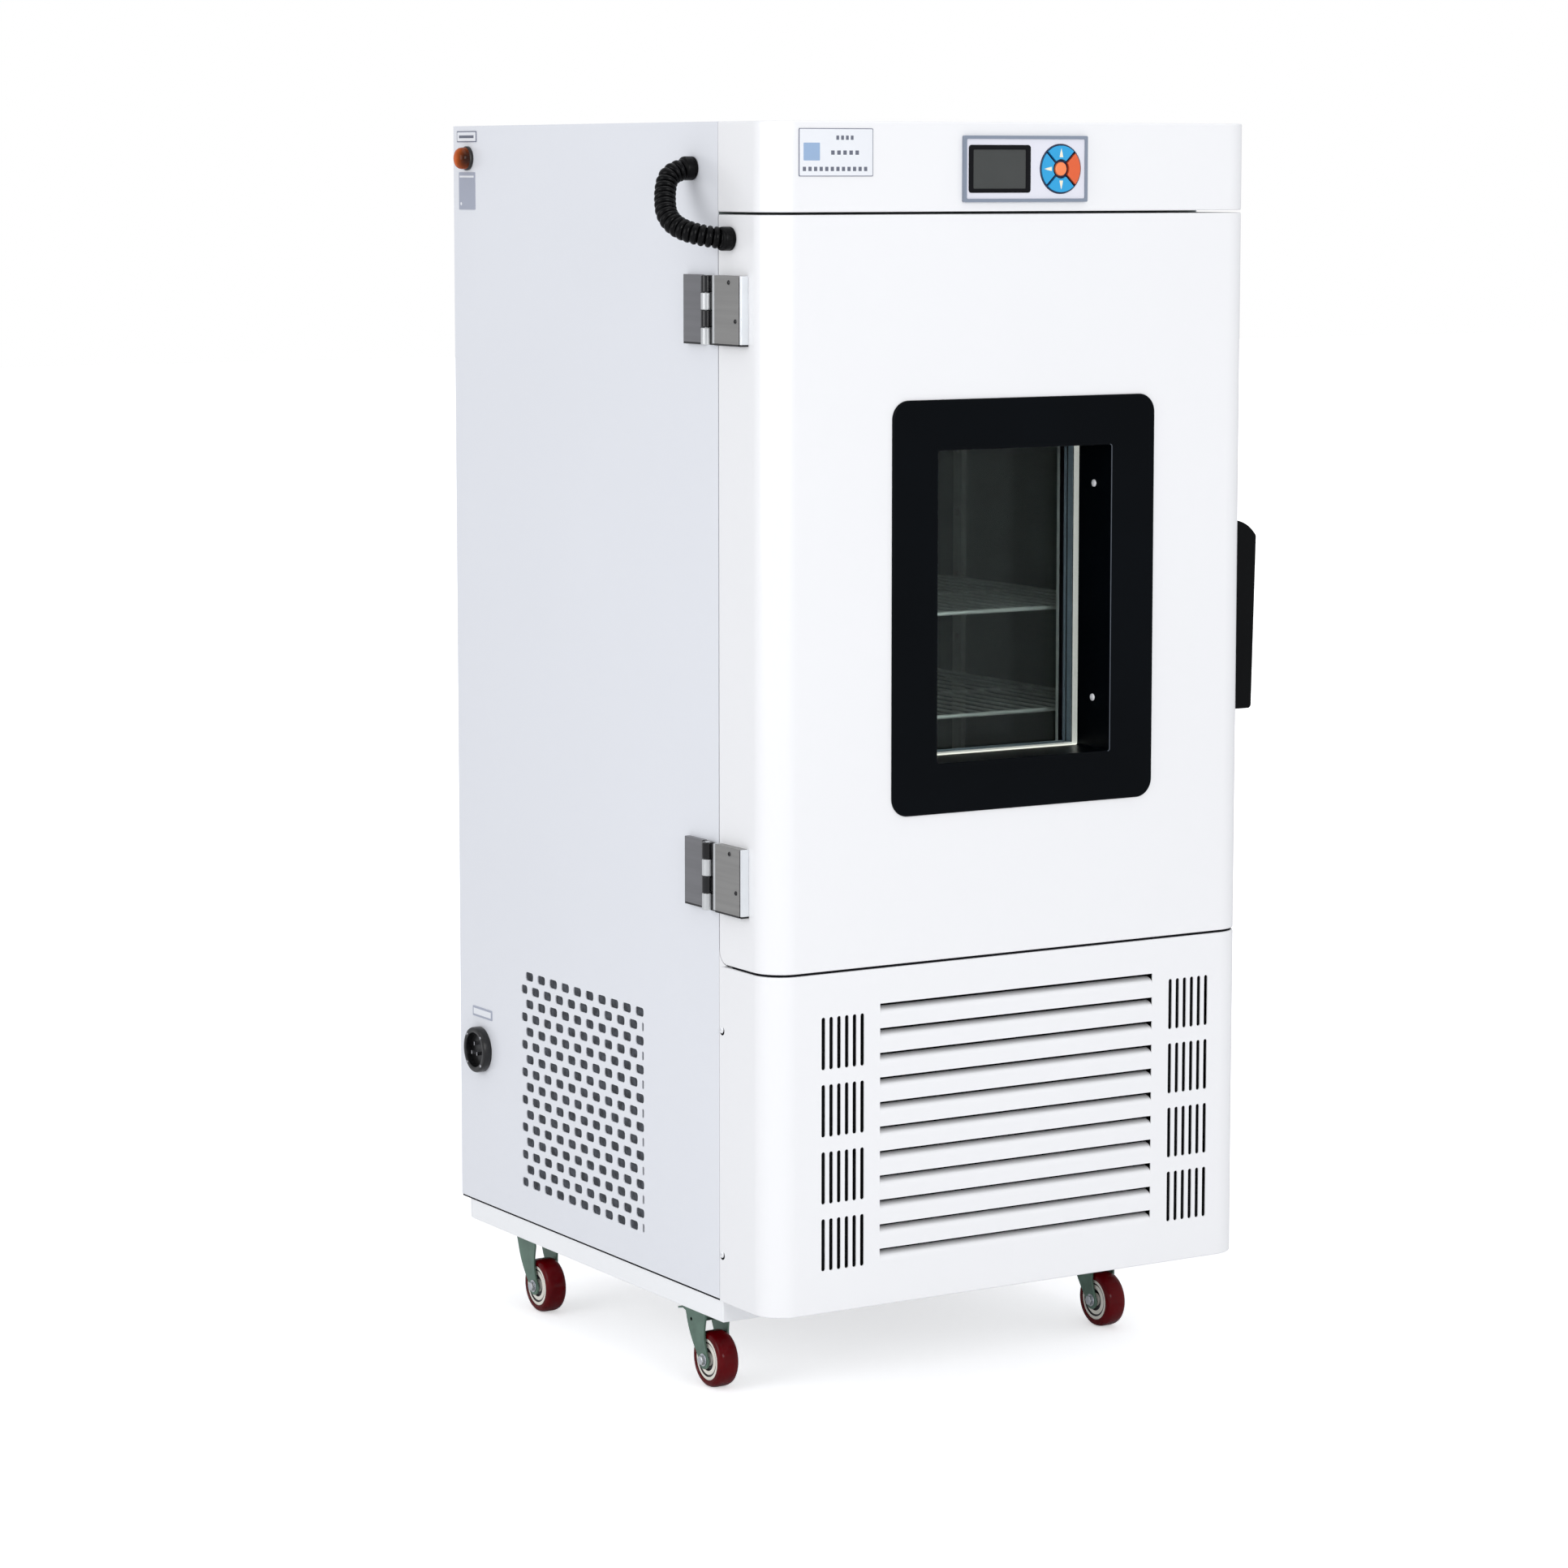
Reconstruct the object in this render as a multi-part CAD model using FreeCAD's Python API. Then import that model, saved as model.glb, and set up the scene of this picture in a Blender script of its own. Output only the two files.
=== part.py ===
import FreeCAD, Part
import math
import os
from FreeCAD import Vector

# Seed germination chamber on casters: insulated cabinet with a side-hinged glazed
# door, a machine compartment below it and a control fascia above it.
# Millimetres. X runs to the right, Y to the rear, Z up. The pieces are drawn from
# the cabinet's left side plane (x 0), the front plane (y 0) and the floor (z 0).

# Overall cabinet
WIDTH = 740.0
DEPTH = 843.0
HEIGHT = 1648.0
SHEET = 1.5
CORNER_R = 40.0

# Cuts run this far past the faces they open, and edges are picked within this distance
PAST = 1.0
NEAR = 0.01

# Small round stock is many-sided, which keeps its facets few
ROUND_SIDES = 14
WHEEL_SIDES = 28
BAR_SIDES = 6

# Front block: fascia, door and lower panel share one outline
DOOR_DEPTH = 122.5
DOOR_GAP = 2.0
FIXED_GAP = 0.8
FACE_Y = DOOR_DEPTH + DOOR_GAP
FIXED_DEPTH = FACE_Y - FIXED_GAP
PANEL_GAP = 3.2
LOWER_Z0 = 157.0
LOWER_Z1 = 582.0
DOOR_Z0 = LOWER_Z1 + PANEL_GAP
FASCIA_HEIGHT = 112.0
FASCIA_Z0 = HEIGHT - FASCIA_HEIGHT
DOOR_Z1 = FASCIA_Z0 - PANEL_GAP
DOOR_REAR_R = 18.0

# Base frame and side panels
CASTER_HEIGHT = 118.0
BASE_WALL = 2.0
BASE_FLOOR = 3.0
BASE_FRONT_Y = 18.0
BASE_CHAMFER = 62.0
BASE_REAR_R = 30.0
SIDE_Z0 = 146.0
REAR_FLANGE = 15.0

# Chamber: stainless liner in foam
LINER_SHEET = 1.2
CAVITY_X0 = 62.0
CAVITY_X1 = WIDTH - CAVITY_X0
CAVITY_FLOOR_WALL = 64.8
CAVITY_ROOF_WALL = 52.8
CAVITY_REAR_WALL = 73.0
CAVITY_Z0 = DOOR_Z0 + CAVITY_FLOOR_WALL
CAVITY_Z1 = DOOR_Z1 - CAVITY_ROOF_WALL
CAVITY_REAR_Y = DEPTH - CAVITY_REAR_WALL
CAVITY_DEPTH = CAVITY_REAR_Y - FACE_Y - SHEET
LINER_FLANGE = 15.0
FOAM_Z0 = LOWER_Z1 + 8.0
FOAM_Z1 = FASCIA_Z0 + 4.0
FACE_OVERLAP = 24.0

# Window in the door
WINDOW_CX = 381.0
WINDOW_DROP = 22.0
WINDOW_CZ = (DOOR_Z0 + DOOR_Z1) / 2 - WINDOW_DROP
OPENING_W = 267.0
OPENING_H = 398.0
BORDER = 68.0
BORDER_BOTTOM = 64.5
FRAME_R = 24.0
FRAME_PROUD = 3.0
FRAME_RIM = 1.5
TUNNEL_WALL = 3.0
TUNNEL_DEPTH = 70.0
PANE_LAP = 12.0
PANE_T = 5.0
SPACER_T = 36.0
SPACER_W = 8.0
SEAT_WALL = 3.0

# Gasket in its groove on the door liner
GASKET_LAP = 12.0
GASKET_W = 14.0
GASKET_T = 12.0
GASKET_CLEAR = 0.3

# Hinges
HINGE_LENGTH = 87.4
HINGE_LOW = 67.8
HINGE_TOP = 162.8
HINGE_Z = (DOOR_Z0 + HINGE_LOW, DOOR_Z1 - HINGE_TOP)
PIN_X = -9.0
PIN_Y = 137.0
KNUCKLE_R = 7.5
PIN_R = 3.5
PIN_FIT = 0.05
KNUCKLES = 5
KNUCKLE_GAP = 0.4
LEAF_T = 2.5
FIXED_LEAF_Y0 = 158.0
FIXED_LEAF_Y1 = 205.0
FIXED_LEAF_H = 8.0
DOOR_LEAF_Y0 = 32.0
DOOR_LEAF_Y1 = 121.0
DOOR_LEAF_H = 15.0

# Handle on the door's free edge
HANDLE_RISE = 287.8
HANDLE_LENGTH = 253.0
HANDLE_Z0 = DOOR_Z0 + HANDLE_RISE
HANDLE_Z1 = HANDLE_Z0 + HANDLE_LENGTH
HANDLE_SHOULDER = 22.0
HANDLE_TOP_OUT = 45.0
HANDLE_FOOT_OUT = 39.5
HANDLE_Y0 = 45.0
HANDLE_DEPTH = 42.0
HANDLE_BACK = 7.0
HANDLE_WALL = 10.0
HANDLE_END = 26.0
HANDLE_R = 5.0
HANDLE_CREST_OUT = 28.0
HANDLE_CREST_DROP = 6.0

# Hose from the cabinet to the door
HOSE_R = 12.0
HOSE_SIDES = 8
HOSE_BEND_R = 46.0
HOSE_STRAIGHT = 20.0
HOSE_TOP = (186.5, FASCIA_Z0 + 54.0)
HOSE_FOOT = (93.5, DOOR_Z1 - 29.8)
CUFF_R = 14.2
CUFF_LENGTH = 16.0
CUFF_BORE_FIT = 0.1
CUFF_CHAMFER = 1.5

# Lower panel: lanced louvres and slot groups
LOUVRE_COUNT = 11
LOUVRE_X0 = 164.0
LOUVRE_LENGTH = 425.0
LOUVRE_TOP_Z = 533.7
LOUVRE_PITCH = 30.93
LOUVRE_HEIGHT = 20.0
LOUVRE_THROAT = 5.6
LOUVRE_INSET = 13.0
LOUVRE_BULGE_RISE = 9.0
LOUVRE_BULGE_IN = 5.0
SLOT_W = 4.0
SLOT_H = 65.0
SLOT_PITCH = 11.6
SLOTS = 6
SLOT_ROWS = 4
SLOT_ROW_PITCH = 84.7
SLOT_TOP_Z = 527.0
SLOT_LEFT_X = 76.5
SLOT_RIGHT_X = 615.0

# Perforated grille in the left side panel
GRILLE_Y0 = 320.0
GRILLE_Y1 = 660.0
GRILLE_TOP_Z = 496.0
GRILLE_ROWS = 16
GRILLE_ROW_PITCH = 19.25
HOLE_PITCH = 34.0
HOLE_W = 21.5
HOLE_H = 12.0
FILTER_T = 6.0
FILTER_LAP = 14.0

# Control group on the fascia
BEZEL_X0 = 283.0
BEZEL_X1 = 472.0
BEZEL_RISE = 11.6
BEZEL_H = 83.4
BEZEL_Z0 = FASCIA_Z0 + BEZEL_RISE
BEZEL_Z1 = BEZEL_Z0 + BEZEL_H
BEZEL_T = 5.0
BEZEL_RIM = 4.0
BEZEL_FACE_DROP = 1.5
BEZEL_R = 1.5
PANEL_CUT_MARGIN = 7.0
LCD_X0 = 290.5
LCD_W = 94.0
LCD_H = 60.0
LCD_CZ = (BEZEL_Z0 + BEZEL_Z1) / 2
LCD_T = 4.5
LCD_R = 4.0
LCD_PROUD = 0.6
PAD_CX = 430.5
PAD_CZ = LCD_CZ
PAD_R = 32.0
KEY_R = 29.5
KEY_INNER_R = 12.3
OK_KEY_R = 8.6
KEY_GAP = 3.4
KEY_T = 4.0
KEY_PROUD = 2.2
KEY_FIT = 0.5
KEY_TRAVEL = 1.2
KEY_STEM_W = 5.0
STEM_FIT = 0.3
KEY_FLOOR_CLEAR = 0.2
PAD_T = 8.0
PAD_PROUD = 0.8
KEY_MID_R = (KEY_R + KEY_INNER_R) / 2
KEY_PLACES = {
    "right": (KEY_MID_R, 0), "up": (KEY_MID_R, 90), "left": (KEY_MID_R, 180),
    "down": (KEY_MID_R, 270), "centre": (0.0, 0),
}
BOX_DEPTH = 84.0
BOX_MARGIN = 4.0

# Plates and labels
PLATE_T = 1.2
NAMEPLATE = (42.0, 150.0, HEIGHT - 68.0, HEIGHT - 9.0)
SIDE_PLATES = (
    (DEPTH - 69.0, DEPTH - 12.0, HEIGHT - 22.0, HEIGHT - 7.0),
    (DEPTH - 64.0, DEPTH - 17.0, HEIGHT - 114.0, HEIGHT - 63.0),
    (DEPTH - 96.0, DEPTH - 39.0, 411.0, 425.0),
)

# Lamp and power inlet on the left side
LAMP_Y = DEPTH - 43.0
LAMP_Z = HEIGHT - 44.0
LAMP_R = 16.5
LAMP_OUT = 19.0
LAMP_NECK_R = 10.0
LAMP_NECK = 4.0
LAMP_STEM = 12.0
LAMP_CHAMFER = 5.0
INLET_Y = DEPTH - 62.0
INLET_Z = 366.0
INLET_R = 32.0
INLET_OUT = 12.0
INLET_WELL_R = 24.0
INLET_WELL = 9.0
INLET_PIN_W = 4.0
INLET_PIN_T = 2.0
INLET_PIN_OFFSET = 9.0
INLET_PIN_BACK = 1.0
INLET_PINS = 3
INLET_BODY_R = 27.0
INLET_BODY = 26.0

# Casters
CASTER_INSET = 60.0
CASTER_FRONT_Y = 261.0
CASTER_REAR_Y = DEPTH - 111.0
CASTER_TRAIL = 25.0
WHEEL_R = 37.5
WHEEL_W = 30.0
WHEEL_CHAMFER = 4.0
HUB_R = 28.0
HUB_RECESS = 2.5
AXLE_R = 4.0
AXLE_FIT = 0.06
PLATE_X = 76.0
PLATE_Y = 96.0
CASTER_PLATE_T = 3.0
RACE_R = 27.0
RACE_H = 8.0
RACE_GAP = 0.5
KING_PIN_R = 6.0
KING_FIT = 0.08
KING_HEAD_R = 10.0
KING_HEAD_T = 3.0
FORK_T = 3.0
FORK_GAP = 1.5
FORK_CROWN_R = 26.0
FORK_FOOT_R = 12.0
FORK_CROWN_Z = 106.5
FORK_SKIRT = 12.0
FORK_SKIRT_Y = 21.0
FORK_BELLY = 4.0
FORK_FOOT_HALF = 11.0
FORK_FOOT_DROP = 5.0
BOLT_R = 7.0
BOLT_T = 5.0
PEDAL_W = 26.0
PEDAL_T = 2.5
PEDAL_LENGTH = 46.0
PEDAL_PIN_R = 3.0
PEDAL_Z = 86.0
PEDAL_BACK = 31.0
PEDAL_BEND = 33.0
PEDAL_RISE = 7.0
PEDAL_END_RISE = 4.0

# Shelves and their supports
DUCT_Y = CAVITY_REAR_Y - 80.0
SHELF_Z = (CAVITY_Z0 + 223.0, CAVITY_Z0 + 359.0)
SHELF_FRONT_Y = 152.0
SHELF_REAR_GAP = 48.0
SHELF_DEPTH = DUCT_Y - SHELF_REAR_GAP - SHELF_FRONT_Y
SHELF_ROD_R = 3.0
SHELF_WIRE_R = 2.2
WIRE_SIDES = 4
SHELF_PITCH = 27.0
UPRIGHT_Y = (185.0, DUCT_Y - 95.0)
UPRIGHT_W = 22.0
UPRIGHT_T = 8.0
UPRIGHT_SLOT_PITCH = 90.0
UPRIGHT_SLOT_H = 12.0
UPRIGHT_SLOT_W = 8.0
RAIL_W = 12.0
RAIL_T = 3.0
RAIL_CLEAR = 0.3
SHELF_SIDE_CLEAR = 2.0

# Air circulation behind the duct panel
DUCT_T = 1.2
DUCT_SLOTS = 10
DUCT_SLOT_W = 30.0
DUCT_SLOT_H = 12.0
DUCT_SLOT_PITCH = 46.0
DUCT_SLOT_RISE = 30.0
FAN_CZ = CAVITY_Z1 - 180.0
FAN_R = 92.0
FAN_CLEAR = 6.0
FAN_HUB_R = 22.0
FAN_BLADES = 5
FAN_DEPTH = 24.0
FAN_BLADE_T = 1.5
FAN_BLADE_PITCH = 24.0
FAN_BLADE_LAP = 2.0
FAN_CHORD_SHARE = 0.52
FAN_SETBACK = 3.0
SHAFT_R = 4.0
SHAFT_FIT = 0.08
MOTOR_R = 34.0
MOTOR_L = 34.0
MOTOR_GAP = 2.0
SHAFT_L = 14.0
BRACKET_H = 16.0
BRACKET_T = 4.0
HEATER_Z = FAN_CZ - 180.0
EVAP_Z0 = CAVITY_Z0 + 110.0
EVAP_H = HEATER_Z - 30.0 - EVAP_Z0
EVAP_W = 420.0
EVAP_T = 44.0
EVAP_FIN_PITCH = 60.0
FIN_T = 2.0
TUBE_R = 5.0
TUBE_ROWS = 2
TUBE_OVERHANG = 14.0
HEATER_R = 5.0
HEATER_W = 360.0
HEATER_RISE = 50.0

# Machine compartment
COMP_X = 520.0
COMP_Y = DEPTH - 243.0
COMP_R = 78.0
COMP_H = 190.0
COMP_FOOT = 12.0
COMP_DOME = 26.0
COMP_BASE_R = 56.0
COMP_CROWN_R = 39.0
COND_Y = 300.0
COND_X0 = 90.0
COND_X1 = 420.0
COND_Z0 = BASE_FLOOR + CASTER_HEIGHT
COND_H = 330.0
COND_T = 44.0
COND_FIN_PITCH = 48.0
SHROUD_T = 2.0
SHROUD_DEPTH = 36.0
SHROUD_FAN_GAP = 8.0
COND_FAN_R = 120.0
REAR_VENT_ROWS = 8
REAR_VENT_COLS = 3
REAR_VENT_W = 150.0
REAR_VENT_H = 6.0
REAR_VENT_PITCH = 24.0
REAR_VENT_GAP = 30.0
REAR_VENT_TOP = 480.0

# Outer extents, and the origin: centre of the object's footprint on the floor
HOSE_OUT = HOSE_STRAIGHT + HOSE_BEND_R + HOSE_R
X_LOW = -HOSE_OUT
X_HIGH = WIDTH + HANDLE_TOP_OUT
Y_LOW = -BEZEL_T + BEZEL_FACE_DROP - KEY_PROUD
Y_HIGH = DEPTH
ORIGIN = Vector((X_LOW + X_HIGH) / 2, (Y_LOW + Y_HIGH) / 2, 0)

X_AXIS = Vector(1, 0, 0)
Y_AXIS = Vector(0, 1, 0)
Z_AXIS = Vector(0, 0, 1)


def save(name, shape):
    """Move a piece to the object's origin and write it as its own file."""
    moved = shape.copy()
    moved.translate(-ORIGIN)
    moved.exportStep("parts/" + name + ".step")


def box(x0, x1, y0, y1, z0, z1):
    return Part.makeBox(x1 - x0, y1 - y0, z1 - z0, Vector(x0, y0, z0))


def rod(start, axis, radius, length):
    return Part.makeCylinder(radius, length, start, axis)


def regular_points(centre, axis, radius, sides, side=None):
    """Corners of a regular polygon across the axis, with a flat toward the side vector."""
    if side is None:
        side = X_AXIS if abs(axis.z) > abs(axis.x) + abs(axis.y) else Z_AXIS
    up = axis.cross(side)
    points = []
    for index in range(sides):
        angle = 2 * math.pi * (index + 0.5) / sides
        points.append(centre + (side * math.cos(angle) + up * math.sin(angle)) * radius)
    return points


def faceted(start, axis, profile, sides=ROUND_SIDES):
    """Many-sided turned form: profile gives (distance along the axis, radius) pairs."""
    rings = [regular_points(start + axis * along, axis, radius, sides)
             for along, radius in profile]
    faces = []
    for low, high in zip(rings, rings[1:]):
        for index in range(sides):
            after = (index + 1) % sides
            corners = [low[index], low[after], high[after], high[index], low[index]]
            faces.append(Part.Face(Part.makePolygon(corners)))
    for cap in (rings[0], rings[-1]):
        faces.append(Part.Face(Part.makePolygon(cap + [cap[0]])))
    return Part.makeSolid(Part.makeShell(faces))


def flat_radius(radius, sides=BAR_SIDES):
    """Distance from a many-sided bar's axis to its flats."""
    return radius * math.cos(math.pi / sides)


def bar(start, axis, radius, length, sides=BAR_SIDES):
    """Straight many-sided bar, for small round stock."""
    return prism(regular_points(start, axis, radius, sides), axis * length)


def bore(start, axis, radius, length, sides=ROUND_SIDES):
    """Many-sided hole whose flats lie at this radius, so that a shaft turns in it."""
    return bar(start, axis, radius / flat_radius(1.0, sides), length, sides)


def frame_box(outer, inner):
    """A box with a smaller box cut out of it, each given as its six limits."""
    return box(*outer).cut(box(*inner))


def prism(points, direction):
    """Extrude the closed polygon through these points."""
    face = Part.Face(Part.makePolygon(points + [points[0]]))
    return face.extrude(direction)


def union(shapes):
    first = shapes[0]
    if len(shapes) == 1:
        return first
    return first.fuse(shapes[1:]).removeSplitter()


def fillet_edges(shape, radius, wanted):
    """Round the edges for which wanted(edge) is true."""
    edges = [edge for edge in shape.Edges if wanted(edge)]
    return shape.makeFillet(radius, edges)


def runs_along(edge, axis):
    """True for a straight edge parallel to the axis."""
    if len(edge.Vertexes) < 2 or edge.Curve.TypeId != "Part::GeomLine":
        return False
    return abs(abs(edge.Curve.Direction.dot(axis)) - 1) < 1e-6


def rounded_box(x0, x1, y0, y1, z0, z1, radius, axis):
    """A box whose four edges along the axis are rounded."""
    plain = box(x0, x1, y0, y1, z0, z1)
    return fillet_edges(plain, radius, lambda edge: runs_along(edge, axis))


def front_outline(depth, inset):
    """Plan of the front block: a rectangle with both front corners rounded."""
    x0, x1 = inset, WIDTH - inset
    radius = CORNER_R - inset
    low = x0 + radius
    high = x1 - radius
    nick = radius * (1 - math.sqrt(0.5))
    corner_y = inset + radius
    edges = [
        Part.LineSegment(Vector(x1, depth, 0), Vector(x0, depth, 0)).toShape(),
        Part.LineSegment(Vector(x0, depth, 0), Vector(x0, corner_y, 0)).toShape(),
        Part.Arc(Vector(x0, corner_y, 0), Vector(x0 + nick, inset + nick, 0),
                 Vector(low, inset, 0)).toShape(),
        Part.LineSegment(Vector(low, inset, 0), Vector(high, inset, 0)).toShape(),
        Part.Arc(Vector(high, inset, 0), Vector(x1 - nick, inset + nick, 0),
                 Vector(x1, corner_y, 0)).toShape(),
        Part.LineSegment(Vector(x1, corner_y, 0), Vector(x1, depth, 0)).toShape(),
    ]
    return Part.Face(Part.Wire(edges))


def front_block(z0, z1, depth, inset=0.0):
    face = front_outline(depth, inset)
    face.translate(Vector(0, 0, z0))
    return face.extrude(Vector(0, 0, z1 - z0))


def front_shell(z0, z1, depth):
    """Sheet casing with a front, two sides, a top and a bottom, open to the rear."""
    outer = front_block(z0, z1, depth)
    hollow = front_block(z0 + SHEET, z1 - SHEET, depth + PAST, SHEET)
    return outer.cut(hollow)


# Cabinet casing

def base_frame():
    """Folded tray that the side panels hang over, with mitred front corners."""
    def outline(inset):
        x0 = SHEET + inset
        x1 = WIDTH - SHEET - inset
        y0 = BASE_FRONT_Y + inset
        y1 = DEPTH - SHEET - inset
        cut = BASE_CHAMFER - inset
        return [Vector(x0, y0 + cut, 0), Vector(x0 + cut, y0, 0), Vector(x1 - cut, y0, 0),
                Vector(x1, y0 + cut, 0), Vector(x1, y1, 0), Vector(x0, y1, 0)]

    def block(inset, z0, z1, radius):
        solid = prism([p + Vector(0, 0, z0) for p in outline(inset)], Vector(0, 0, z1 - z0))

        def at_rear(edge):
            return runs_along(edge, Z_AXIS) and edge.CenterOfMass.y > DEPTH / 2
        return fillet_edges(solid, radius, at_rear)

    tray = block(0, CASTER_HEIGHT, LOWER_Z0, BASE_REAR_R)
    hollow = block(BASE_WALL, CASTER_HEIGHT + BASE_FLOOR, LOWER_Z0 + PAST,
                   BASE_REAR_R - BASE_WALL)
    return tray.cut(hollow)


def side_sheet():
    sheet = box(0, SHEET, FACE_Y, DEPTH, SIDE_Z0, HEIGHT - SHEET)
    flange = box(SHEET, REAR_FLANGE, DEPTH - SHEET, DEPTH, SIDE_Z0, HEIGHT - SHEET)
    return sheet.fuse(flange).removeSplitter()


def grille_holes():
    """Staggered rows of oblong holes, with half holes where a row meets the edge."""
    holes = []
    for row in range(GRILLE_ROWS):
        top = GRILLE_TOP_Z - row * GRILLE_ROW_PITCH
        start = GRILLE_Y0 - (row % 2) * HOLE_PITCH / 2
        count = int((GRILLE_Y1 - start) / HOLE_PITCH) + 1
        for column in range(count):
            low = max(start + column * HOLE_PITCH, GRILLE_Y0)
            high = min(start + column * HOLE_PITCH + HOLE_W, GRILLE_Y1)
            if high - low > SHEET:
                holes.append(box(-PAST, SHEET + PAST, low, high, top - HOLE_H, top))
    return Part.makeCompound(holes)


def side_hole(y, z, radius):
    """Cutter for a round hole through the left side sheet."""
    return bar(Vector(-PAST, y, z), X_AXIS, radius, SHEET + 2 * PAST, ROUND_SIDES)


def side_panel_left():
    panel = side_sheet().cut(grille_holes())
    places = ((HOSE_TOP[0], HOSE_TOP[1], HOSE_R), (LAMP_Y, LAMP_Z, LAMP_NECK_R),
              (INLET_Y, INLET_Z, INLET_BODY_R))
    return panel.cut([side_hole(y, z, radius) for y, z, radius in places])


def side_panel_right():
    return side_sheet().mirror(Vector(WIDTH / 2, 0, 0), X_AXIS)


def rear_panel():
    """Back sheet with rows of vent slots over the machine compartment."""
    y0 = DEPTH - 2 * SHEET
    y1 = DEPTH - SHEET
    sheet = box(SHEET, WIDTH - SHEET, y0, y1, LOWER_Z0, HEIGHT - SHEET)
    span = REAR_VENT_COLS * REAR_VENT_W + (REAR_VENT_COLS - 1) * REAR_VENT_GAP
    slots = []
    for row in range(REAR_VENT_ROWS):
        z1 = REAR_VENT_TOP - row * REAR_VENT_PITCH
        for column in range(REAR_VENT_COLS):
            x0 = (WIDTH - span) / 2 + column * (REAR_VENT_W + REAR_VENT_GAP)
            slots.append(box(x0, x0 + REAR_VENT_W, y0 - PAST, y1 + PAST,
                             z1 - REAR_VENT_H, z1))
    return sheet.cut(Part.makeCompound(slots))


def top_cover():
    return box(0, WIDTH, FACE_Y, DEPTH, HEIGHT - SHEET, HEIGHT)


def front_fascia():
    shell = front_shell(FASCIA_Z0, HEIGHT, FIXED_DEPTH)
    cut_x0 = BEZEL_X0 + PANEL_CUT_MARGIN
    cut_x1 = BEZEL_X1 - PANEL_CUT_MARGIN
    cut_z0 = BEZEL_Z0 + PANEL_CUT_MARGIN
    cut_z1 = BEZEL_Z1 - PANEL_CUT_MARGIN
    return shell.cut(box(cut_x0, cut_x1, -PAST, SHEET + PAST, cut_z0, cut_z1))


def louvre_blade(top_z):
    """Blade bent inward about its bottom edge, which stays in the sheet."""
    x1 = LOUVRE_X0 + LOUVRE_LENGTH
    foot_z = top_z - LOUVRE_HEIGHT
    tip_z = top_z - LOUVRE_THROAT
    bulge_z = foot_z + LOUVRE_BULGE_RISE

    def curve(offset):
        start = Vector(LOUVRE_X0, offset, foot_z)
        middle = Vector(LOUVRE_X0, LOUVRE_BULGE_IN + offset, bulge_z - offset / 2)
        end = Vector(LOUVRE_X0, LOUVRE_INSET, tip_z - offset)
        return Part.Arc(start, middle, end).toShape()

    front = curve(0.0)
    back = curve(SHEET)
    foot = Part.LineSegment(Vector(LOUVRE_X0, 0, foot_z), Vector(LOUVRE_X0, SHEET, foot_z))
    tip_front = Vector(LOUVRE_X0, LOUVRE_INSET, tip_z)
    tip_back = Vector(LOUVRE_X0, LOUVRE_INSET, tip_z - SHEET)
    tip = Part.LineSegment(tip_front, tip_back)
    wire = Part.Wire([foot.toShape(), front, tip.toShape(), back])
    return Part.Face(wire).extrude(Vector(x1 - LOUVRE_X0, 0, 0))


def slot_groups():
    slots = []
    for group_x in (SLOT_LEFT_X, SLOT_RIGHT_X):
        for row in range(SLOT_ROWS):
            z1 = SLOT_TOP_Z - row * SLOT_ROW_PITCH
            for column in range(SLOTS):
                x0 = group_x + column * SLOT_PITCH
                slots.append(box(x0, x0 + SLOT_W, -PAST, SHEET + PAST, z1 - SLOT_H, z1))
    return slots


def door_corner_ears():
    """Upstands of the lower panel's sides that follow the door's rounded rear corner."""
    radius = DOOR_REAR_R + PANEL_GAP
    y0 = FIXED_DEPTH - DOOR_REAR_R
    block = box(0, SHEET, y0, FIXED_DEPTH, LOWER_Z1 - SHEET, LOWER_Z1 + DOOR_REAR_R)
    centre = Vector(-PAST, DOOR_DEPTH - DOOR_REAR_R, DOOR_Z0 + DOOR_REAR_R)
    ear = block.cut(rod(centre, X_AXIS, radius - DOOR_GAP, SHEET + 2 * PAST))
    return [ear, ear.mirror(Vector(WIDTH / 2, 0, 0), X_AXIS)]


def lower_front_panel():
    shell = front_shell(LOWER_Z0, LOWER_Z1, FIXED_DEPTH)
    cuts = slot_groups()
    blades = []
    for index in range(LOUVRE_COUNT):
        top_z = LOUVRE_TOP_Z - index * LOUVRE_PITCH
        x1 = LOUVRE_X0 + LOUVRE_LENGTH
        cuts.append(box(LOUVRE_X0, x1, -PAST, SHEET + PAST, top_z - LOUVRE_HEIGHT, top_z))
        blades.append(louvre_blade(top_z))
    panel = shell.cut(Part.makeCompound(cuts))
    return union([panel] + blades + door_corner_ears())


def face_frame():
    """Front face of the cabinet that the gasket closes on."""
    outer = (SHEET, WIDTH - SHEET, FACE_Y, FACE_Y + SHEET,
             LOWER_Z1 - FACE_OVERLAP, FASCIA_Z0 + FACE_OVERLAP)
    mouth = (CAVITY_X0, CAVITY_X1, FACE_Y - PAST, FACE_Y + SHEET + PAST,
             CAVITY_Z0, CAVITY_Z1)
    return frame_box(outer, mouth)


def liner_outer_limits():
    y0 = FACE_Y + SHEET
    return (CAVITY_X0 - LINER_SHEET, CAVITY_X1 + LINER_SHEET, y0,
            y0 + CAVITY_DEPTH + LINER_SHEET, CAVITY_Z0 - LINER_SHEET,
            CAVITY_Z1 + LINER_SHEET)


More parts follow.
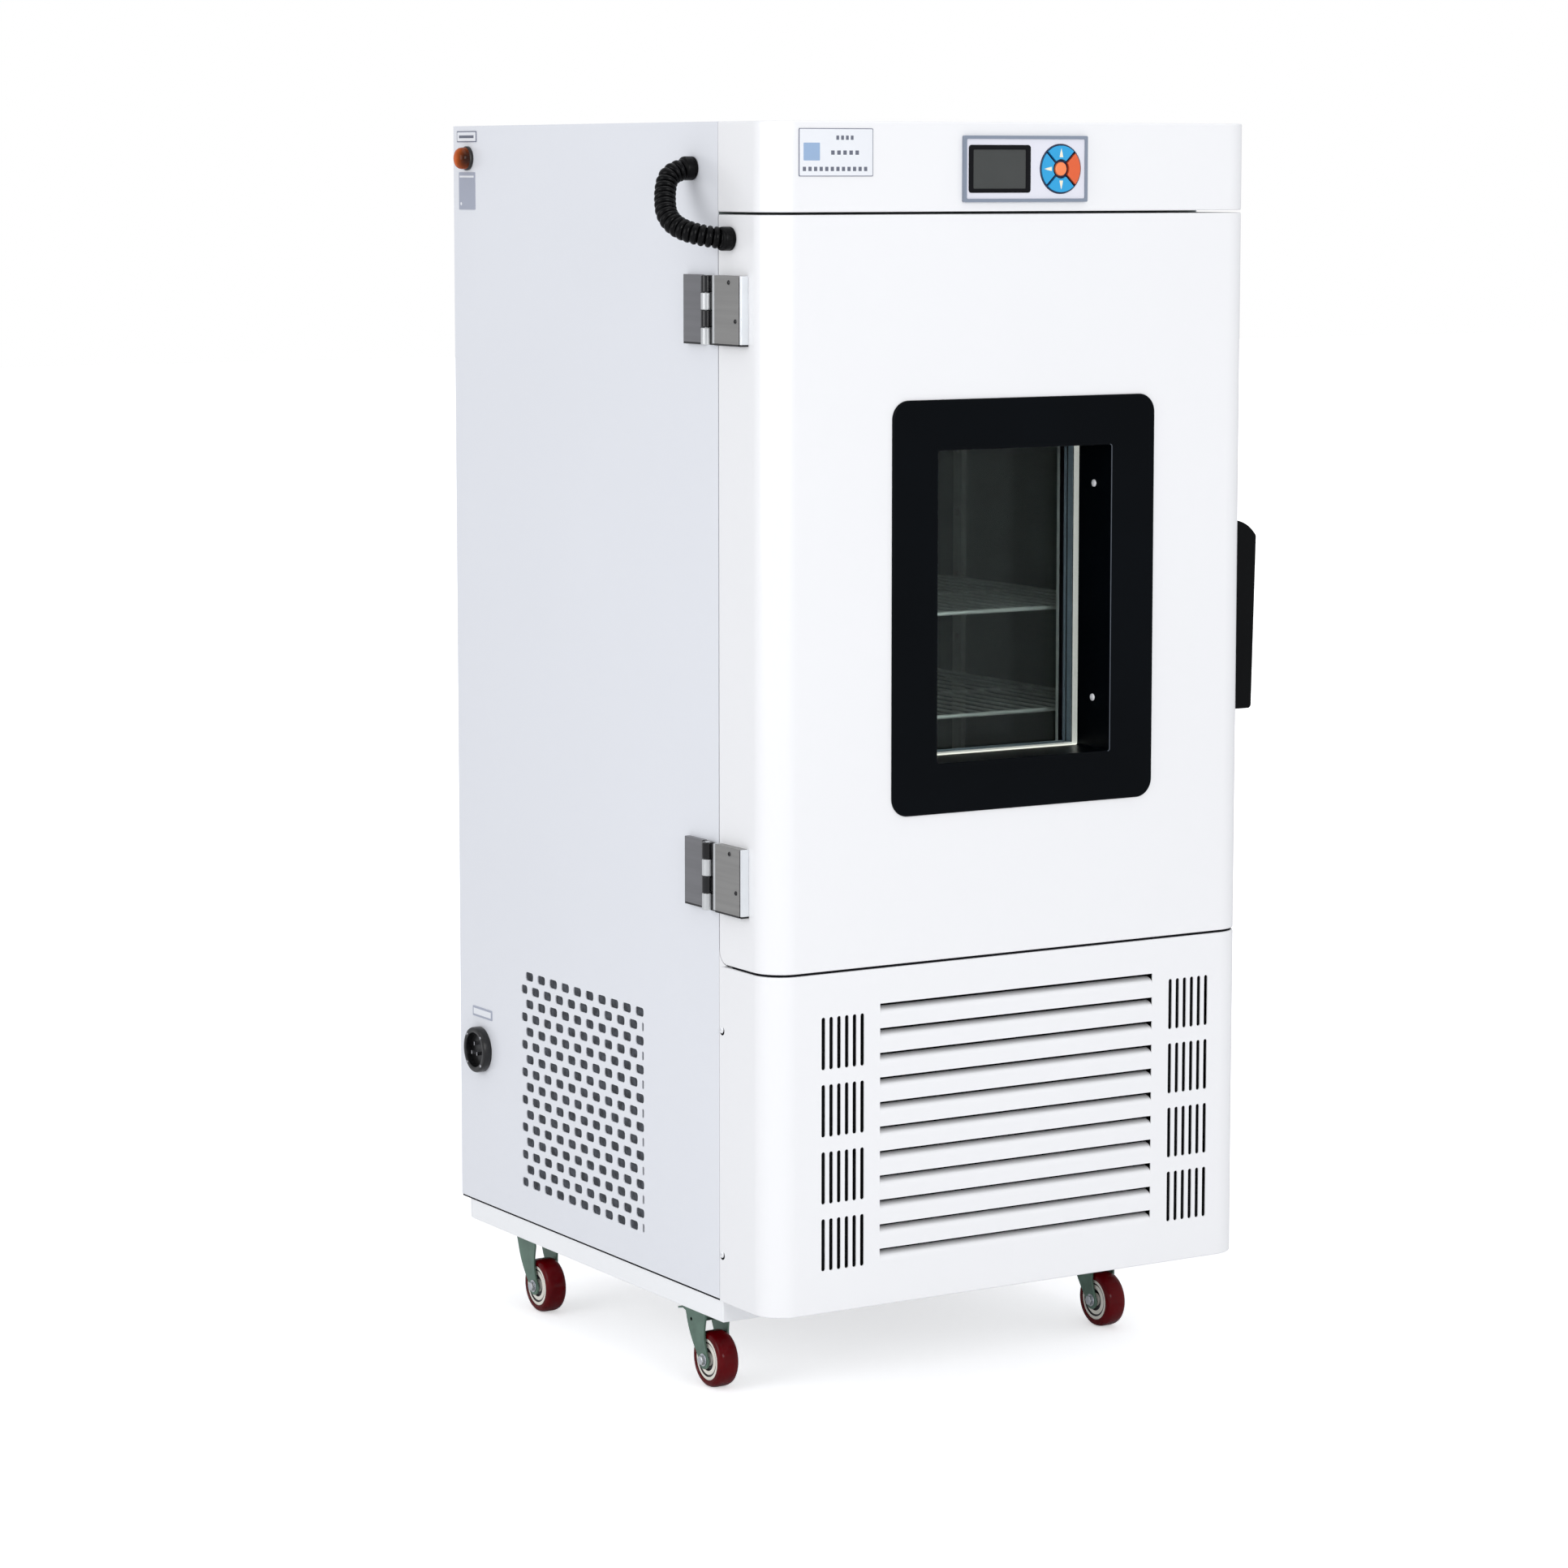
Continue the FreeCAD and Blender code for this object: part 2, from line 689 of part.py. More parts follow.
def inner_liner():
    y0 = FACE_Y + SHEET
    tank = box(*liner_outer_limits())
    flange = box(CAVITY_X0 - LINER_FLANGE, CAVITY_X1 + LINER_FLANGE, y0, y0 + LINER_SHEET,
                 CAVITY_Z0 - LINER_FLANGE, CAVITY_Z1 + LINER_FLANGE)
    cavity = box(CAVITY_X0, CAVITY_X1, y0 - PAST, y0 + CAVITY_DEPTH, CAVITY_Z0, CAVITY_Z1)
    return tank.fuse(flange).cut(cavity).removeSplitter()


def insulation():
    y0 = FACE_Y + SHEET + LINER_SHEET
    block = box(SHEET, WIDTH - SHEET, y0, DEPTH - 2 * SHEET, FOAM_Z0, FOAM_Z1)
    return block.cut(box(*liner_outer_limits()))


# Door

def opening_limits(y0, y1, grow):
    """The window opening as a box, grown by an even margin."""
    return (WINDOW_CX - OPENING_W / 2 - grow, WINDOW_CX + OPENING_W / 2 + grow, y0, y1,
            WINDOW_CZ - OPENING_H / 2 - grow, WINDOW_CZ + OPENING_H / 2 + grow)


def gasket_limits(y0, y1, grow):
    """Outer limits of the gasket's ring, grown by a margin."""
    out = GASKET_LAP + GASKET_W + grow
    return (CAVITY_X0 - out, CAVITY_X1 + out, y0, y1, CAVITY_Z0 - out, CAVITY_Z1 + out)


def door_body(inset, depth):
    """The door's whole form, inset from its outer faces."""
    z0 = DOOR_Z0 + inset
    z1 = DOOR_Z1 - inset
    block = front_block(z0, z1, depth, inset)

    def at_foot(edge):
        point = edge.CenterOfMass
        return (runs_along(edge, X_AXIS) and abs(point.z - z0) < NEAR
                and abs(point.y - depth) < NEAR)
    return fillet_edges(block, DOOR_REAR_R - inset, at_foot)


def door_shell():
    outer = door_body(0.0, DOOR_DEPTH)
    hollow = door_body(SHEET, DOOR_DEPTH - SHEET)
    back = box(SHEET, WIDTH - SHEET, DOOR_DEPTH - SHEET - PAST, DOOR_DEPTH + PAST,
               DOOR_Z0 + DOOR_REAR_R, DOOR_Z1 - SHEET)
    window = box(*opening_limits(-PAST, SHEET + PAST, TUNNEL_WALL))
    return outer.cut([hollow, back, window, side_hole(*HOSE_FOOT, HOSE_R)])


def pack_depth():
    """Thickness of the glazing: two panes and the spacer between them."""
    return 2 * PANE_T + SPACER_T


def gasket_ring(y0, y1, grow):
    """Rectangular ring in front of the cabinet's face, grown on all its sides."""
    inner = list(gasket_limits(y0 - PAST, y1 + PAST, 0.0))
    shrink = GASKET_W + grow
    inner[0] += shrink
    inner[1] -= shrink
    inner[4] += shrink
    inner[5] -= shrink
    return frame_box(gasket_limits(y0, y1, grow), inner)


def gasket_seat_y():
    return DOOR_DEPTH + DOOR_GAP - GASKET_CLEAR - GASKET_T


def sleeve_limits(y0, y1, grow):
    return opening_limits(y0, y1, PANE_LAP + grow)


def door_liner():
    """Inner skin of the door, with the gasket's groove and the glazing's sleeve."""
    y1 = DOOR_DEPTH
    y0 = DOOR_DEPTH - SHEET
    sheet = box(SHEET, WIDTH - SHEET, y0, y1, DOOR_Z0 + DOOR_REAR_R, DOOR_Z1 - SHEET)
    trough = gasket_ring(gasket_seat_y() - SHEET, y1, SHEET)
    sleeve = box(*sleeve_limits(TUNNEL_DEPTH, y1, SEAT_WALL))
    groove = gasket_ring(gasket_seat_y(), y1 + PAST, 0.0)
    pack = box(*sleeve_limits(TUNNEL_DEPTH - PAST, TUNNEL_DEPTH + pack_depth(), 0.0))
    view = box(*opening_limits(TUNNEL_DEPTH - PAST, y1 + PAST, 0.0))
    return sheet.fuse([trough, sleeve]).cut([groove, pack, view]).removeSplitter()


def door_insulation():
    block = door_body(SHEET, DOOR_DEPTH - SHEET)
    trough = gasket_ring(gasket_seat_y() - SHEET, DOOR_DEPTH, SHEET)
    tunnel = box(*opening_limits(0, TUNNEL_DEPTH, TUNNEL_WALL))
    seat = box(*sleeve_limits(TUNNEL_DEPTH - SEAT_WALL, DOOR_DEPTH, SEAT_WALL))
    hose = rod(Vector(0, HOSE_FOOT[0], HOSE_FOOT[1]), X_AXIS, HOSE_R, CUFF_LENGTH)
    return block.cut([trough, tunnel, seat, hose])


def door_gasket():
    y0 = gasket_seat_y()
    return gasket_ring(y0, y0 + GASKET_T, 0.0)


def window_frame():
    """Moulded surround with a wide front flange, a deep reveal and the glass seat."""
    x0, x1 = opening_limits(0, 0, BORDER)[:2]
    z0 = WINDOW_CZ - OPENING_H / 2 - BORDER_BOTTOM
    z1 = WINDOW_CZ + OPENING_H / 2 + BORDER_BOTTOM
    flange = rounded_box(x0, x1, -FRAME_PROUD, 0, z0, z1, FRAME_R, Y_AXIS)

    def front_rim(edge):
        at_front = abs(edge.CenterOfMass.y + FRAME_PROUD) < NEAR
        return at_front and edge.BoundBox.YLength < NEAR
    flange = flange.makeChamfer(FRAME_RIM, [e for e in flange.Edges if front_rim(e)])
    tunnel = box(*opening_limits(-FRAME_PROUD / 2, TUNNEL_DEPTH, TUNNEL_WALL))
    seat = box(*sleeve_limits(TUNNEL_DEPTH - SEAT_WALL, TUNNEL_DEPTH, SEAT_WALL))
    opening = box(*opening_limits(-FRAME_PROUD - PAST, TUNNEL_DEPTH + PAST, 0.0))
    return flange.fuse([tunnel, seat]).cut(opening).removeSplitter()


def pane(y0):
    return box(*sleeve_limits(y0, y0 + PANE_T, 0.0))


def glazing_spacer():
    y0 = TUNNEL_DEPTH + PANE_T
    outer = sleeve_limits(y0, y0 + SPACER_T, 0.0)
    inner = sleeve_limits(y0 - PAST, y0 + SPACER_T + PAST, -SPACER_W)
    return frame_box(outer, inner)


# Hinges

def knuckle_spans():
    """Heights of the knuckles, bottom to top, within one hinge."""
    pitch = HINGE_LENGTH / KNUCKLES
    spans = []
    for index in range(KNUCKLES):
        low = index * pitch + (KNUCKLE_GAP / 2 if index else 0)
        high = (index + 1) * pitch - (KNUCKLE_GAP / 2 if index < KNUCKLES - 1 else 0)
        spans.append((low, high))
    return spans


def knuckle(z0, low, high, web):
    """One turned knuckle with the web that joins it to its leaf."""
    start = Vector(PIN_X, PIN_Y, z0 + low)
    barrel = bar(start, Z_AXIS, KNUCKLE_R, high - low, ROUND_SIDES)
    web_box = box(*web, z0 + low, z0 + high)
    return barrel.fuse(web_box).cut(bore(start, Z_AXIS, PIN_R + PIN_FIT, high - low))


def fixed_leaf(z0):
    plate = box(-FIXED_LEAF_H, 0, FIXED_LEAF_Y0, FIXED_LEAF_Y1, z0, z0 + HINGE_LENGTH)

    def outer_long(edge):
        point = edge.CenterOfMass
        return runs_along(edge, Z_AXIS) and point.x < -NEAR and point.y > FIXED_LEAF_Y1 - NEAR
    plate = fillet_edges(plate, LEAF_T, outer_long)
    web = (-FIXED_LEAF_H, -FIXED_LEAF_H + LEAF_T, PIN_Y, FIXED_LEAF_Y0)
    parts = [plate]
    for low, high in knuckle_spans()[0::2]:
        parts.append(knuckle(z0, low, high, web))
    return union(parts)


def door_leaf(z0):
    """Raised leaf whose front end curves back to the door's side."""
    block = box(-DOOR_LEAF_H, 0, DOOR_LEAF_Y0, DOOR_LEAF_Y1, z0, z0 + HINGE_LENGTH)

    def front_long(edge):
        point = edge.CenterOfMass
        return runs_along(edge, Z_AXIS) and point.x < -NEAR and point.y < DOOR_LEAF_Y0 + NEAR
    block = fillet_edges(block, DOOR_LEAF_H - LEAF_T, front_long)
    web = (-DOOR_LEAF_H, -DOOR_LEAF_H + LEAF_T, DOOR_LEAF_Y1, PIN_Y)
    parts = [block]
    for low, high in knuckle_spans()[1::2]:
        parts.append(knuckle(z0, low, high, web))
    return union(parts)


def hinge_pin(z0):
    return rod(Vector(PIN_X, PIN_Y, z0), Z_AXIS, PIN_R, HINGE_LENGTH)


# Handle and hose

def handle():
    """Side pull with a sloped shoulder and a finger pocket open to the rear."""
    x0 = WIDTH
    top = x0 + HANDLE_TOP_OUT
    shoulder_z = HANDLE_Z1 - HANDLE_SHOULDER
    y0 = HANDLE_Y0
    corner_a = Vector(x0, y0, HANDLE_Z0)
    corner_b = Vector(x0 + HANDLE_FOOT_OUT, y0, HANDLE_Z0)
    corner_c = Vector(top, y0, shoulder_z)
    crest = Vector(x0 + HANDLE_CREST_OUT, y0, HANDLE_Z1 - HANDLE_CREST_DROP)
    corner_d = Vector(x0, y0, HANDLE_Z1)
    edges = [
        Part.LineSegment(corner_a, corner_b).toShape(),
        Part.LineSegment(corner_b, corner_c).toShape(),
        Part.Arc(corner_c, crest, corner_d).toShape(),
        Part.LineSegment(corner_d, corner_a).toShape(),
    ]
    body = Part.Face(Part.Wire(edges)).extrude(Vector(0, HANDLE_DEPTH, 0))

    def outer_edge(edge):
        return runs_along(edge, Y_AXIS) and edge.CenterOfMass.x > x0 + NEAR
    body = fillet_edges(body, HANDLE_R, outer_edge)
    pocket = prism([
        Vector(x0 + HANDLE_BACK, y0 + HANDLE_WALL, HANDLE_Z0 + HANDLE_END),
        Vector(x0 + HANDLE_FOOT_OUT - HANDLE_WALL, y0 + HANDLE_WALL, HANDLE_Z0 + HANDLE_END),
        Vector(top - HANDLE_WALL, y0 + HANDLE_WALL, shoulder_z - HANDLE_END),
        Vector(x0 + HANDLE_BACK, y0 + HANDLE_WALL, shoulder_z - HANDLE_END),
    ], Vector(0, HANDLE_DEPTH, 0))
    return body.cut(pocket)


def hose():
    """Flexible conduit: straight out of each cuff, a quarter turn, a short run across."""
    top = Vector(0, HOSE_TOP[0], HOSE_TOP[1])
    foot = Vector(0, HOSE_FOOT[0], HOSE_FOOT[1])
    across = (foot - top).normalize()
    out = -X_AXIS
    section = regular_points(top, out, HOSE_R, HOSE_SIDES, across)
    straight = prism(section, out * HOSE_STRAIGHT)

    bend_start = Part.Face(Part.makePolygon(section + [section[0]]))
    bend_start.translate(out * HOSE_STRAIGHT)
    pivot = top + out * HOSE_STRAIGHT + across * HOSE_BEND_R
    bend_axis = out.cross(across)
    bend = bend_start.revolve(pivot, bend_axis, 90)

    run_start = bend_start.copy()
    run_start.rotate(pivot, bend_axis, 90)
    half_run = (foot - top).Length / 2 - HOSE_BEND_R
    half = union([straight, bend, run_start.extrude(across * half_run)])
    return union([half, half.mirror((top + foot) / 2, across)])


def cuff(centre):
    """Moulded gland collar round the end of the hose."""
    start = Vector(-CUFF_LENGTH, centre[0], centre[1])
    profile = [(0, CUFF_R - CUFF_CHAMFER), (CUFF_CHAMFER, CUFF_R), (CUFF_LENGTH, CUFF_R)]
    body = faceted(start, X_AXIS, profile)
    return body.cut(bore(start, X_AXIS, HOSE_R + CUFF_BORE_FIT, CUFF_LENGTH))


# Controls, plates and connectors

def bezel():
    """Control plate with a raised rim, a screen opening and a keypad well."""
    plate = rounded_box(BEZEL_X0, BEZEL_X1, -BEZEL_T, 0, BEZEL_Z0, BEZEL_Z1, BEZEL_R,
                        Y_AXIS)
    face = box(BEZEL_X0 + BEZEL_RIM, BEZEL_X1 - BEZEL_RIM, -BEZEL_T - PAST,
               -BEZEL_T + BEZEL_FACE_DROP, BEZEL_Z0 + BEZEL_RIM, BEZEL_Z1 - BEZEL_RIM)
    screen = rounded_box(LCD_X0, LCD_X0 + LCD_W, -BEZEL_T - PAST, PAST, LCD_CZ - LCD_H / 2,
                         LCD_CZ + LCD_H / 2, LCD_R, Y_AXIS)
    start = Vector(PAD_CX, -BEZEL_T - PAST, PAD_CZ)
    well = bar(start, Y_AXIS, PAD_R, BEZEL_T + 2 * PAST, WHEEL_SIDES)
    return plate.cut([face, screen, well])


def lcd_screen():
    y0 = -BEZEL_T + BEZEL_FACE_DROP - LCD_PROUD
    return rounded_box(LCD_X0, LCD_X0 + LCD_W, y0, y0 + LCD_T, LCD_CZ - LCD_H / 2,
                       LCD_CZ + LCD_H / 2, LCD_R, Y_AXIS)


def ring_sector(angle):
    """Quarter segment of the keypad ring, with half a gap on each side."""
    start = Vector(PAD_CX, 0, PAD_CZ)
    disc = bar(start, Y_AXIS, KEY_R, KEY_T, WHEEL_SIDES)
    core = bar(start, Y_AXIS, KEY_INNER_R, KEY_T, ROUND_SIDES)
    shift = KEY_GAP / math.sqrt(2)
    far = 2 * PAD_R
    wedge = prism([start + Vector(shift, 0, 0), start + Vector(far, 0, far - shift),
                   start + Vector(far, 0, -far + shift)], Vector(0, KEY_T, 0))
    piece = disc.cut(core).common(wedge)
    piece.rotate(start, Y_AXIS, -angle)
    return piece


def key_front():
    return -BEZEL_T + BEZEL_FACE_DROP - KEY_PROUD


def stem_box(radius, angle, y0, y1, grow):
    """Square stem behind a key, at this radius and angle round the keypad's centre."""
    x = PAD_CX + radius * math.cos(math.radians(angle))
    z = PAD_CZ + radius * math.sin(math.radians(angle))
    half = KEY_STEM_W / 2 + grow
    return box(x - half, x + half, y0, y1, z - half, z + half)


def keypad_base():
    """Dark disc with a trough for the ring keys, a well for the middle key and stem holes."""
    y0 = -BEZEL_T + BEZEL_FACE_DROP - PAD_PROUD
    y1 = y0 + PAD_T
    start = Vector(PAD_CX, y0 - PAST, PAD_CZ)
    depth = key_front() + KEY_T + KEY_TRAVEL + KEY_FLOOR_CLEAR - start.y
    trough = bar(start, Y_AXIS, KEY_R + KEY_FIT, depth, WHEEL_SIDES)
    trough = trough.cut(bar(start, Y_AXIS, KEY_INNER_R - KEY_FIT, depth, ROUND_SIDES))
    cuts = [trough, bar(start, Y_AXIS, OK_KEY_R + KEY_FIT, depth, ROUND_SIDES)]
    for radius, angle in KEY_PLACES.values():
        cuts.append(stem_box(radius, angle, y0 - PAST, y1 + PAST, STEM_FIT))
    return bar(start + Y_AXIS * PAST, Y_AXIS, PAD_R, PAD_T, WHEEL_SIDES).cut(cuts)


def key(name):
    """One key with its stem; a quarter of the ring, or the round one in the middle."""
    radius, angle = KEY_PLACES[name]
    front = key_front()
    if radius:
        cap = ring_sector(angle)
    else:
        cap = bar(Vector(PAD_CX, 0, PAD_CZ), Y_AXIS, OK_KEY_R, KEY_T, ROUND_SIDES)
    cap.translate(Vector(0, front, 0))
    return cap.fuse(stem_box(radius, angle, front + KEY_T / 2, front + KEY_T + PAD_T, 0.0))


def control_box():
    """Electronics housing behind the fascia."""
    housing = box(BEZEL_X0, BEZEL_X1, SHEET, BOX_DEPTH, BEZEL_Z0 - BOX_MARGIN,
                  BEZEL_Z1 + BOX_MARGIN)
    hollow = box(BEZEL_X0 + SHEET, BEZEL_X1 - SHEET, 0, PAD_T + KEY_T, BEZEL_Z0, BEZEL_Z1)
    return housing.cut(hollow)


def plate_group():
    x0, x1, z0, z1 = NAMEPLATE
    plates = [box(x0, x1, -PLATE_T, 0, z0, z1)]
    for y0, y1, low, high in SIDE_PLATES:
        plates.append(box(-PLATE_T, 0, y0, y1, low, high))
    return Part.makeCompound(plates)


def indicator_lamp():
    """Domed lens on a short neck that passes through the side sheet."""
    start = Vector(-LAMP_OUT, LAMP_Y, LAMP_Z)
    foot = LAMP_OUT - LAMP_NECK
    dome = faceted(start, X_AXIS, [(0, LAMP_R - LAMP_CHAMFER), (LAMP_CHAMFER, LAMP_R),
                                   (foot, LAMP_R)])
    neck = bar(start + X_AXIS * foot, X_AXIS, LAMP_NECK_R, LAMP_NECK + LAMP_STEM, ROUND_SIDES)
    return dome.fuse(neck)


def power_inlet():
    """Round appliance inlet: flange with a well, and three contact pins in it."""
    start = Vector(-INLET_OUT, INLET_Y, INLET_Z)
    flange = bar(start, X_AXIS, INLET_R, INLET_OUT, 2 * ROUND_SIDES)
    body = bar(start, X_AXIS, INLET_BODY_R, INLET_OUT + INLET_BODY, ROUND_SIDES)
    well = bar(start, X_AXIS, INLET_WELL_R, INLET_WELL, ROUND_SIDES)
    parts = [flange.fuse(body).cut(well)]
    for index in range(INLET_PINS):
        angle = math.radians(90 + 360 * index / INLET_PINS)
        offset = Vector(0, math.cos(angle), math.sin(angle)) * INLET_PIN_OFFSET
        pin = box(-INLET_OUT + INLET_PIN_BACK, 0, INLET_Y - INLET_PIN_T / 2,
                  INLET_Y + INLET_PIN_T / 2, INLET_Z - INLET_PIN_W / 2,
                  INLET_Z + INLET_PIN_W / 2)
        pin.translate(offset)
        parts.append(pin)
    return union(parts)


def intake_filter():
    return box(SHEET, SHEET + FILTER_T, GRILLE_Y0 - FILTER_LAP, GRILLE_Y1 + FILTER_LAP,
               GRILLE_TOP_Z - GRILLE_ROWS * GRILLE_ROW_PITCH - FILTER_LAP,
               GRILLE_TOP_Z + FILTER_LAP)


# Chamber fittings

def upright(wall_x, inward, y):
    """Slotted post on the chamber wall; inward is +1 on the left wall."""
    x0, x1 = sorted((wall_x, wall_x + inward * UPRIGHT_T))
    post = box(x0, x1, y - UPRIGHT_W / 2, y + UPRIGHT_W / 2, CAVITY_Z0, CAVITY_Z1)
    slots = []
    count = int((CAVITY_Z1 - CAVITY_Z0) / UPRIGHT_SLOT_PITCH) - 1
    for index in range(count):
        z0 = CAVITY_Z0 + (index + 1) * UPRIGHT_SLOT_PITCH
        slots.append(box(x0 - PAST, x1 + PAST, y - UPRIGHT_SLOT_W / 2, y + UPRIGHT_SLOT_W / 2,
                         z0, z0 + UPRIGHT_SLOT_H))
    return post.cut(Part.makeCompound(slots))


def shelf_rail(wall_x, inward, shelf_z):
    """Runner on the posts that carries one side of a shelf."""
    start = wall_x + inward * UPRIGHT_T
    x0, x1 = sorted((start, start + inward * RAIL_W))
    top = shelf_z - flat_radius(SHELF_ROD_R) - RAIL_CLEAR
    return box(x0, x1, UPRIGHT_Y[0] - UPRIGHT_W / 2, UPRIGHT_Y[1] + UPRIGHT_W / 2,
               top - RAIL_T, top)


def shelf_supports(wall_x, inward):
    posts = [upright(wall_x, inward, y) for y in UPRIGHT_Y]
    rails = [shelf_rail(wall_x, inward, z) for z in SHELF_Z]
    return union(posts + rails)


def wire_shelf(z):
    """Wire shelf: a rod frame with a middle stay, and front-to-back wires laid on it."""
    x0 = CAVITY_X0 + UPRIGHT_T + SHELF_SIDE_CLEAR + SHELF_ROD_R
    x1 = WIDTH - x0
    y0 = SHELF_FRONT_Y + SHELF_ROD_R
    y1 = y0 + SHELF_DEPTH - 2 * SHELF_ROD_R
    reach = SHELF_ROD_R
    length = y1 - y0 + 2 * reach
    parts = [bar(Vector(x, y0 - reach, z), Y_AXIS, SHELF_ROD_R, length) for x in (x0, x1)]
    for y in (y0, (y0 + y1) / 2, y1):
        parts.append(bar(Vector(x0, y, z), X_AXIS, SHELF_ROD_R, x1 - x0))
    count = int((x1 - x0) / SHELF_PITCH)
    pitch = (x1 - x0) / count
    wire_z = z + flat_radius(SHELF_ROD_R) + flat_radius(SHELF_WIRE_R, WIRE_SIDES)
    for index in range(1, count):
        start = Vector(x0 + index * pitch, y0 - reach, wire_z)
        parts.append(bar(start, Y_AXIS, SHELF_WIRE_R, length, WIRE_SIDES))
    return union(parts)


def air_duct_panel():
    """Perforated baffle in front of the coil, with the fan's round mouth."""
    sheet = box(CAVITY_X0, CAVITY_X1, DUCT_Y, DUCT_Y + DUCT_T, CAVITY_Z0, CAVITY_Z1)
    start = Vector(WIDTH / 2, DUCT_Y - PAST, FAN_CZ)
    mouth = bar(start, Y_AXIS, FAN_R + FAN_CLEAR, DUCT_T + 2 * PAST, WHEEL_SIDES)
    slots = []
    z0 = CAVITY_Z0 + DUCT_SLOT_RISE
    span = (DUCT_SLOTS - 1) * DUCT_SLOT_PITCH + DUCT_SLOT_W
    for column in range(DUCT_SLOTS):
        x0 = (WIDTH - span) / 2 + column * DUCT_SLOT_PITCH
        slots.append(box(x0, x0 + DUCT_SLOT_W, DUCT_Y - PAST, DUCT_Y + DUCT_T + PAST,
                         z0, z0 + DUCT_SLOT_H))
    return sheet.cut([mouth] + slots)


def fan_wheel(centre, radius):
    """Axial fan: hub, pitched blades and a stub shaft to the rear."""
    hub = bar(centre, Y_AXIS, FAN_HUB_R, FAN_DEPTH, ROUND_SIDES)
    shaft = rod(centre, Y_AXIS, SHAFT_R, FAN_DEPTH + SHAFT_L)
    parts = [hub, shaft]
    for index in range(FAN_BLADES):
        middle = centre + Vector(0, FAN_DEPTH / 2, 0)
        half_chord = radius * FAN_CHORD_SHARE / 2
        blade = box(centre.x + FAN_HUB_R - FAN_BLADE_LAP, centre.x + radius,
                    middle.y - FAN_BLADE_T / 2, middle.y + FAN_BLADE_T / 2,
                    centre.z - half_chord, centre.z + half_chord)
        blade.rotate(middle, X_AXIS, FAN_BLADE_PITCH)
        blade.rotate(middle, Y_AXIS, index * 360 / FAN_BLADES)
        parts.append(blade)
    return union(parts)


def fan_motor(centre):
    """Motor body behind a fan."""
    start = centre + Y_AXIS * (FAN_DEPTH + MOTOR_GAP)
    return bar(start, Y_AXIS, MOTOR_R, MOTOR_L, ROUND_SIDES)


def motor_bore(centre):
    """Bore that the fan's shaft turns in, a little deeper than the shaft."""
    start = centre + Y_AXIS * FAN_DEPTH
    return bore(start, Y_AXIS, SHAFT_R + SHAFT_FIT, SHAFT_L + MOTOR_GAP)


def circulation_fan_centre():
    return Vector(WIDTH / 2, DUCT_Y + DUCT_T + FAN_SETBACK, FAN_CZ)


def circulation_motor():
    """Motor on a bracket that reaches the wall behind it."""
    centre = circulation_fan_centre()
    motor = fan_motor(centre)
    foot = box(centre.x - MOTOR_R, centre.x + MOTOR_R, motor.CenterOfMass.y,
               CAVITY_REAR_Y,
               centre.z - BRACKET_H / 2, centre.z + BRACKET_H / 2)
    return motor.fuse(foot).cut(motor_bore(centre))


def finned_coil(x0, x1, y0, y1, z0, height, pitch):
    """Heat exchanger: upright fins threaded on horizontal tubes with end plates."""
    parts = []
    count = int((x1 - x0) / pitch)
    step = (x1 - x0 - FIN_T) / count
    for index in range(count + 1):
        x = x0 + index * step
        parts.append(box(x, x + FIN_T, y0, y1, z0, z0 + height))
    for index in range(TUBE_ROWS):
        z = z0 + height * (index + 0.5) / TUBE_ROWS
        start = Vector(x0 - TUBE_OVERHANG, (y0 + y1) / 2, z)
        parts.append(bar(start, X_AXIS, TUBE_R, x1 - x0 + 2 * TUBE_OVERHANG))
    return union(parts)


def evaporator():
    y1 = CAVITY_REAR_Y
    x0 = (WIDTH - EVAP_W) / 2
    return finned_coil(x0, x0 + EVAP_W, y1 - EVAP_T, y1, EVAP_Z0, EVAP_H, EVAP_FIN_PITCH)


def air_heater():
    """Tubular heater: a hairpin whose two ends pass into the rear wall."""
    wall = CAVITY_REAR_Y
    y = wall - EVAP_T / 2
    x0 = (WIDTH - HEATER_W) / 2
    x1 = x0 + HEATER_W
    parts = []
    for z in (HEATER_Z, HEATER_Z + HEATER_RISE):
        parts.append(bar(Vector(x0, y, z), X_AXIS, HEATER_R, HEATER_W))
        parts.append(bar(Vector(x0, y - HEATER_R, z), Y_AXIS, HEATER_R, wall - y + HEATER_R))
    parts.append(bar(Vector(x1, y, HEATER_Z - HEATER_R), Z_AXIS, HEATER_R,
                     HEATER_RISE + 2 * HEATER_R))
    return union(parts)


# Machine compartment

def compressor():
    """Hermetic compressor: drum with coned ends on a footed plate."""
    z0 = CASTER_HEIGHT + BASE_FLOOR
    foot = box(COMP_X - COMP_R, COMP_X + COMP_R, COMP_Y - COMP_R, COMP_Y + COMP_R,
               z0, z0 + COMP_FOOT)
    body_z = z0 + COMP_FOOT
    profile = [(0, COMP_BASE_R), (COMP_DOME, COMP_R), (COMP_H - COMP_DOME, COMP_R),
               (COMP_H, COMP_CROWN_R)]
    drum = faceted(Vector(COMP_X, COMP_Y, body_z), Z_AXIS, profile)
    return union([foot, drum])


def condenser():
    return finned_coil(COND_X0, COND_X1, COND_Y, COND_Y + COND_T, COND_Z0, COND_H,
                       COND_FIN_PITCH)


def condenser_fan_centre():
    centre_z = COND_Z0 + COND_H / 2
    return Vector((COND_X0 + COND_X1) / 2, COND_Y + COND_T + SHROUD_FAN_GAP, centre_z)


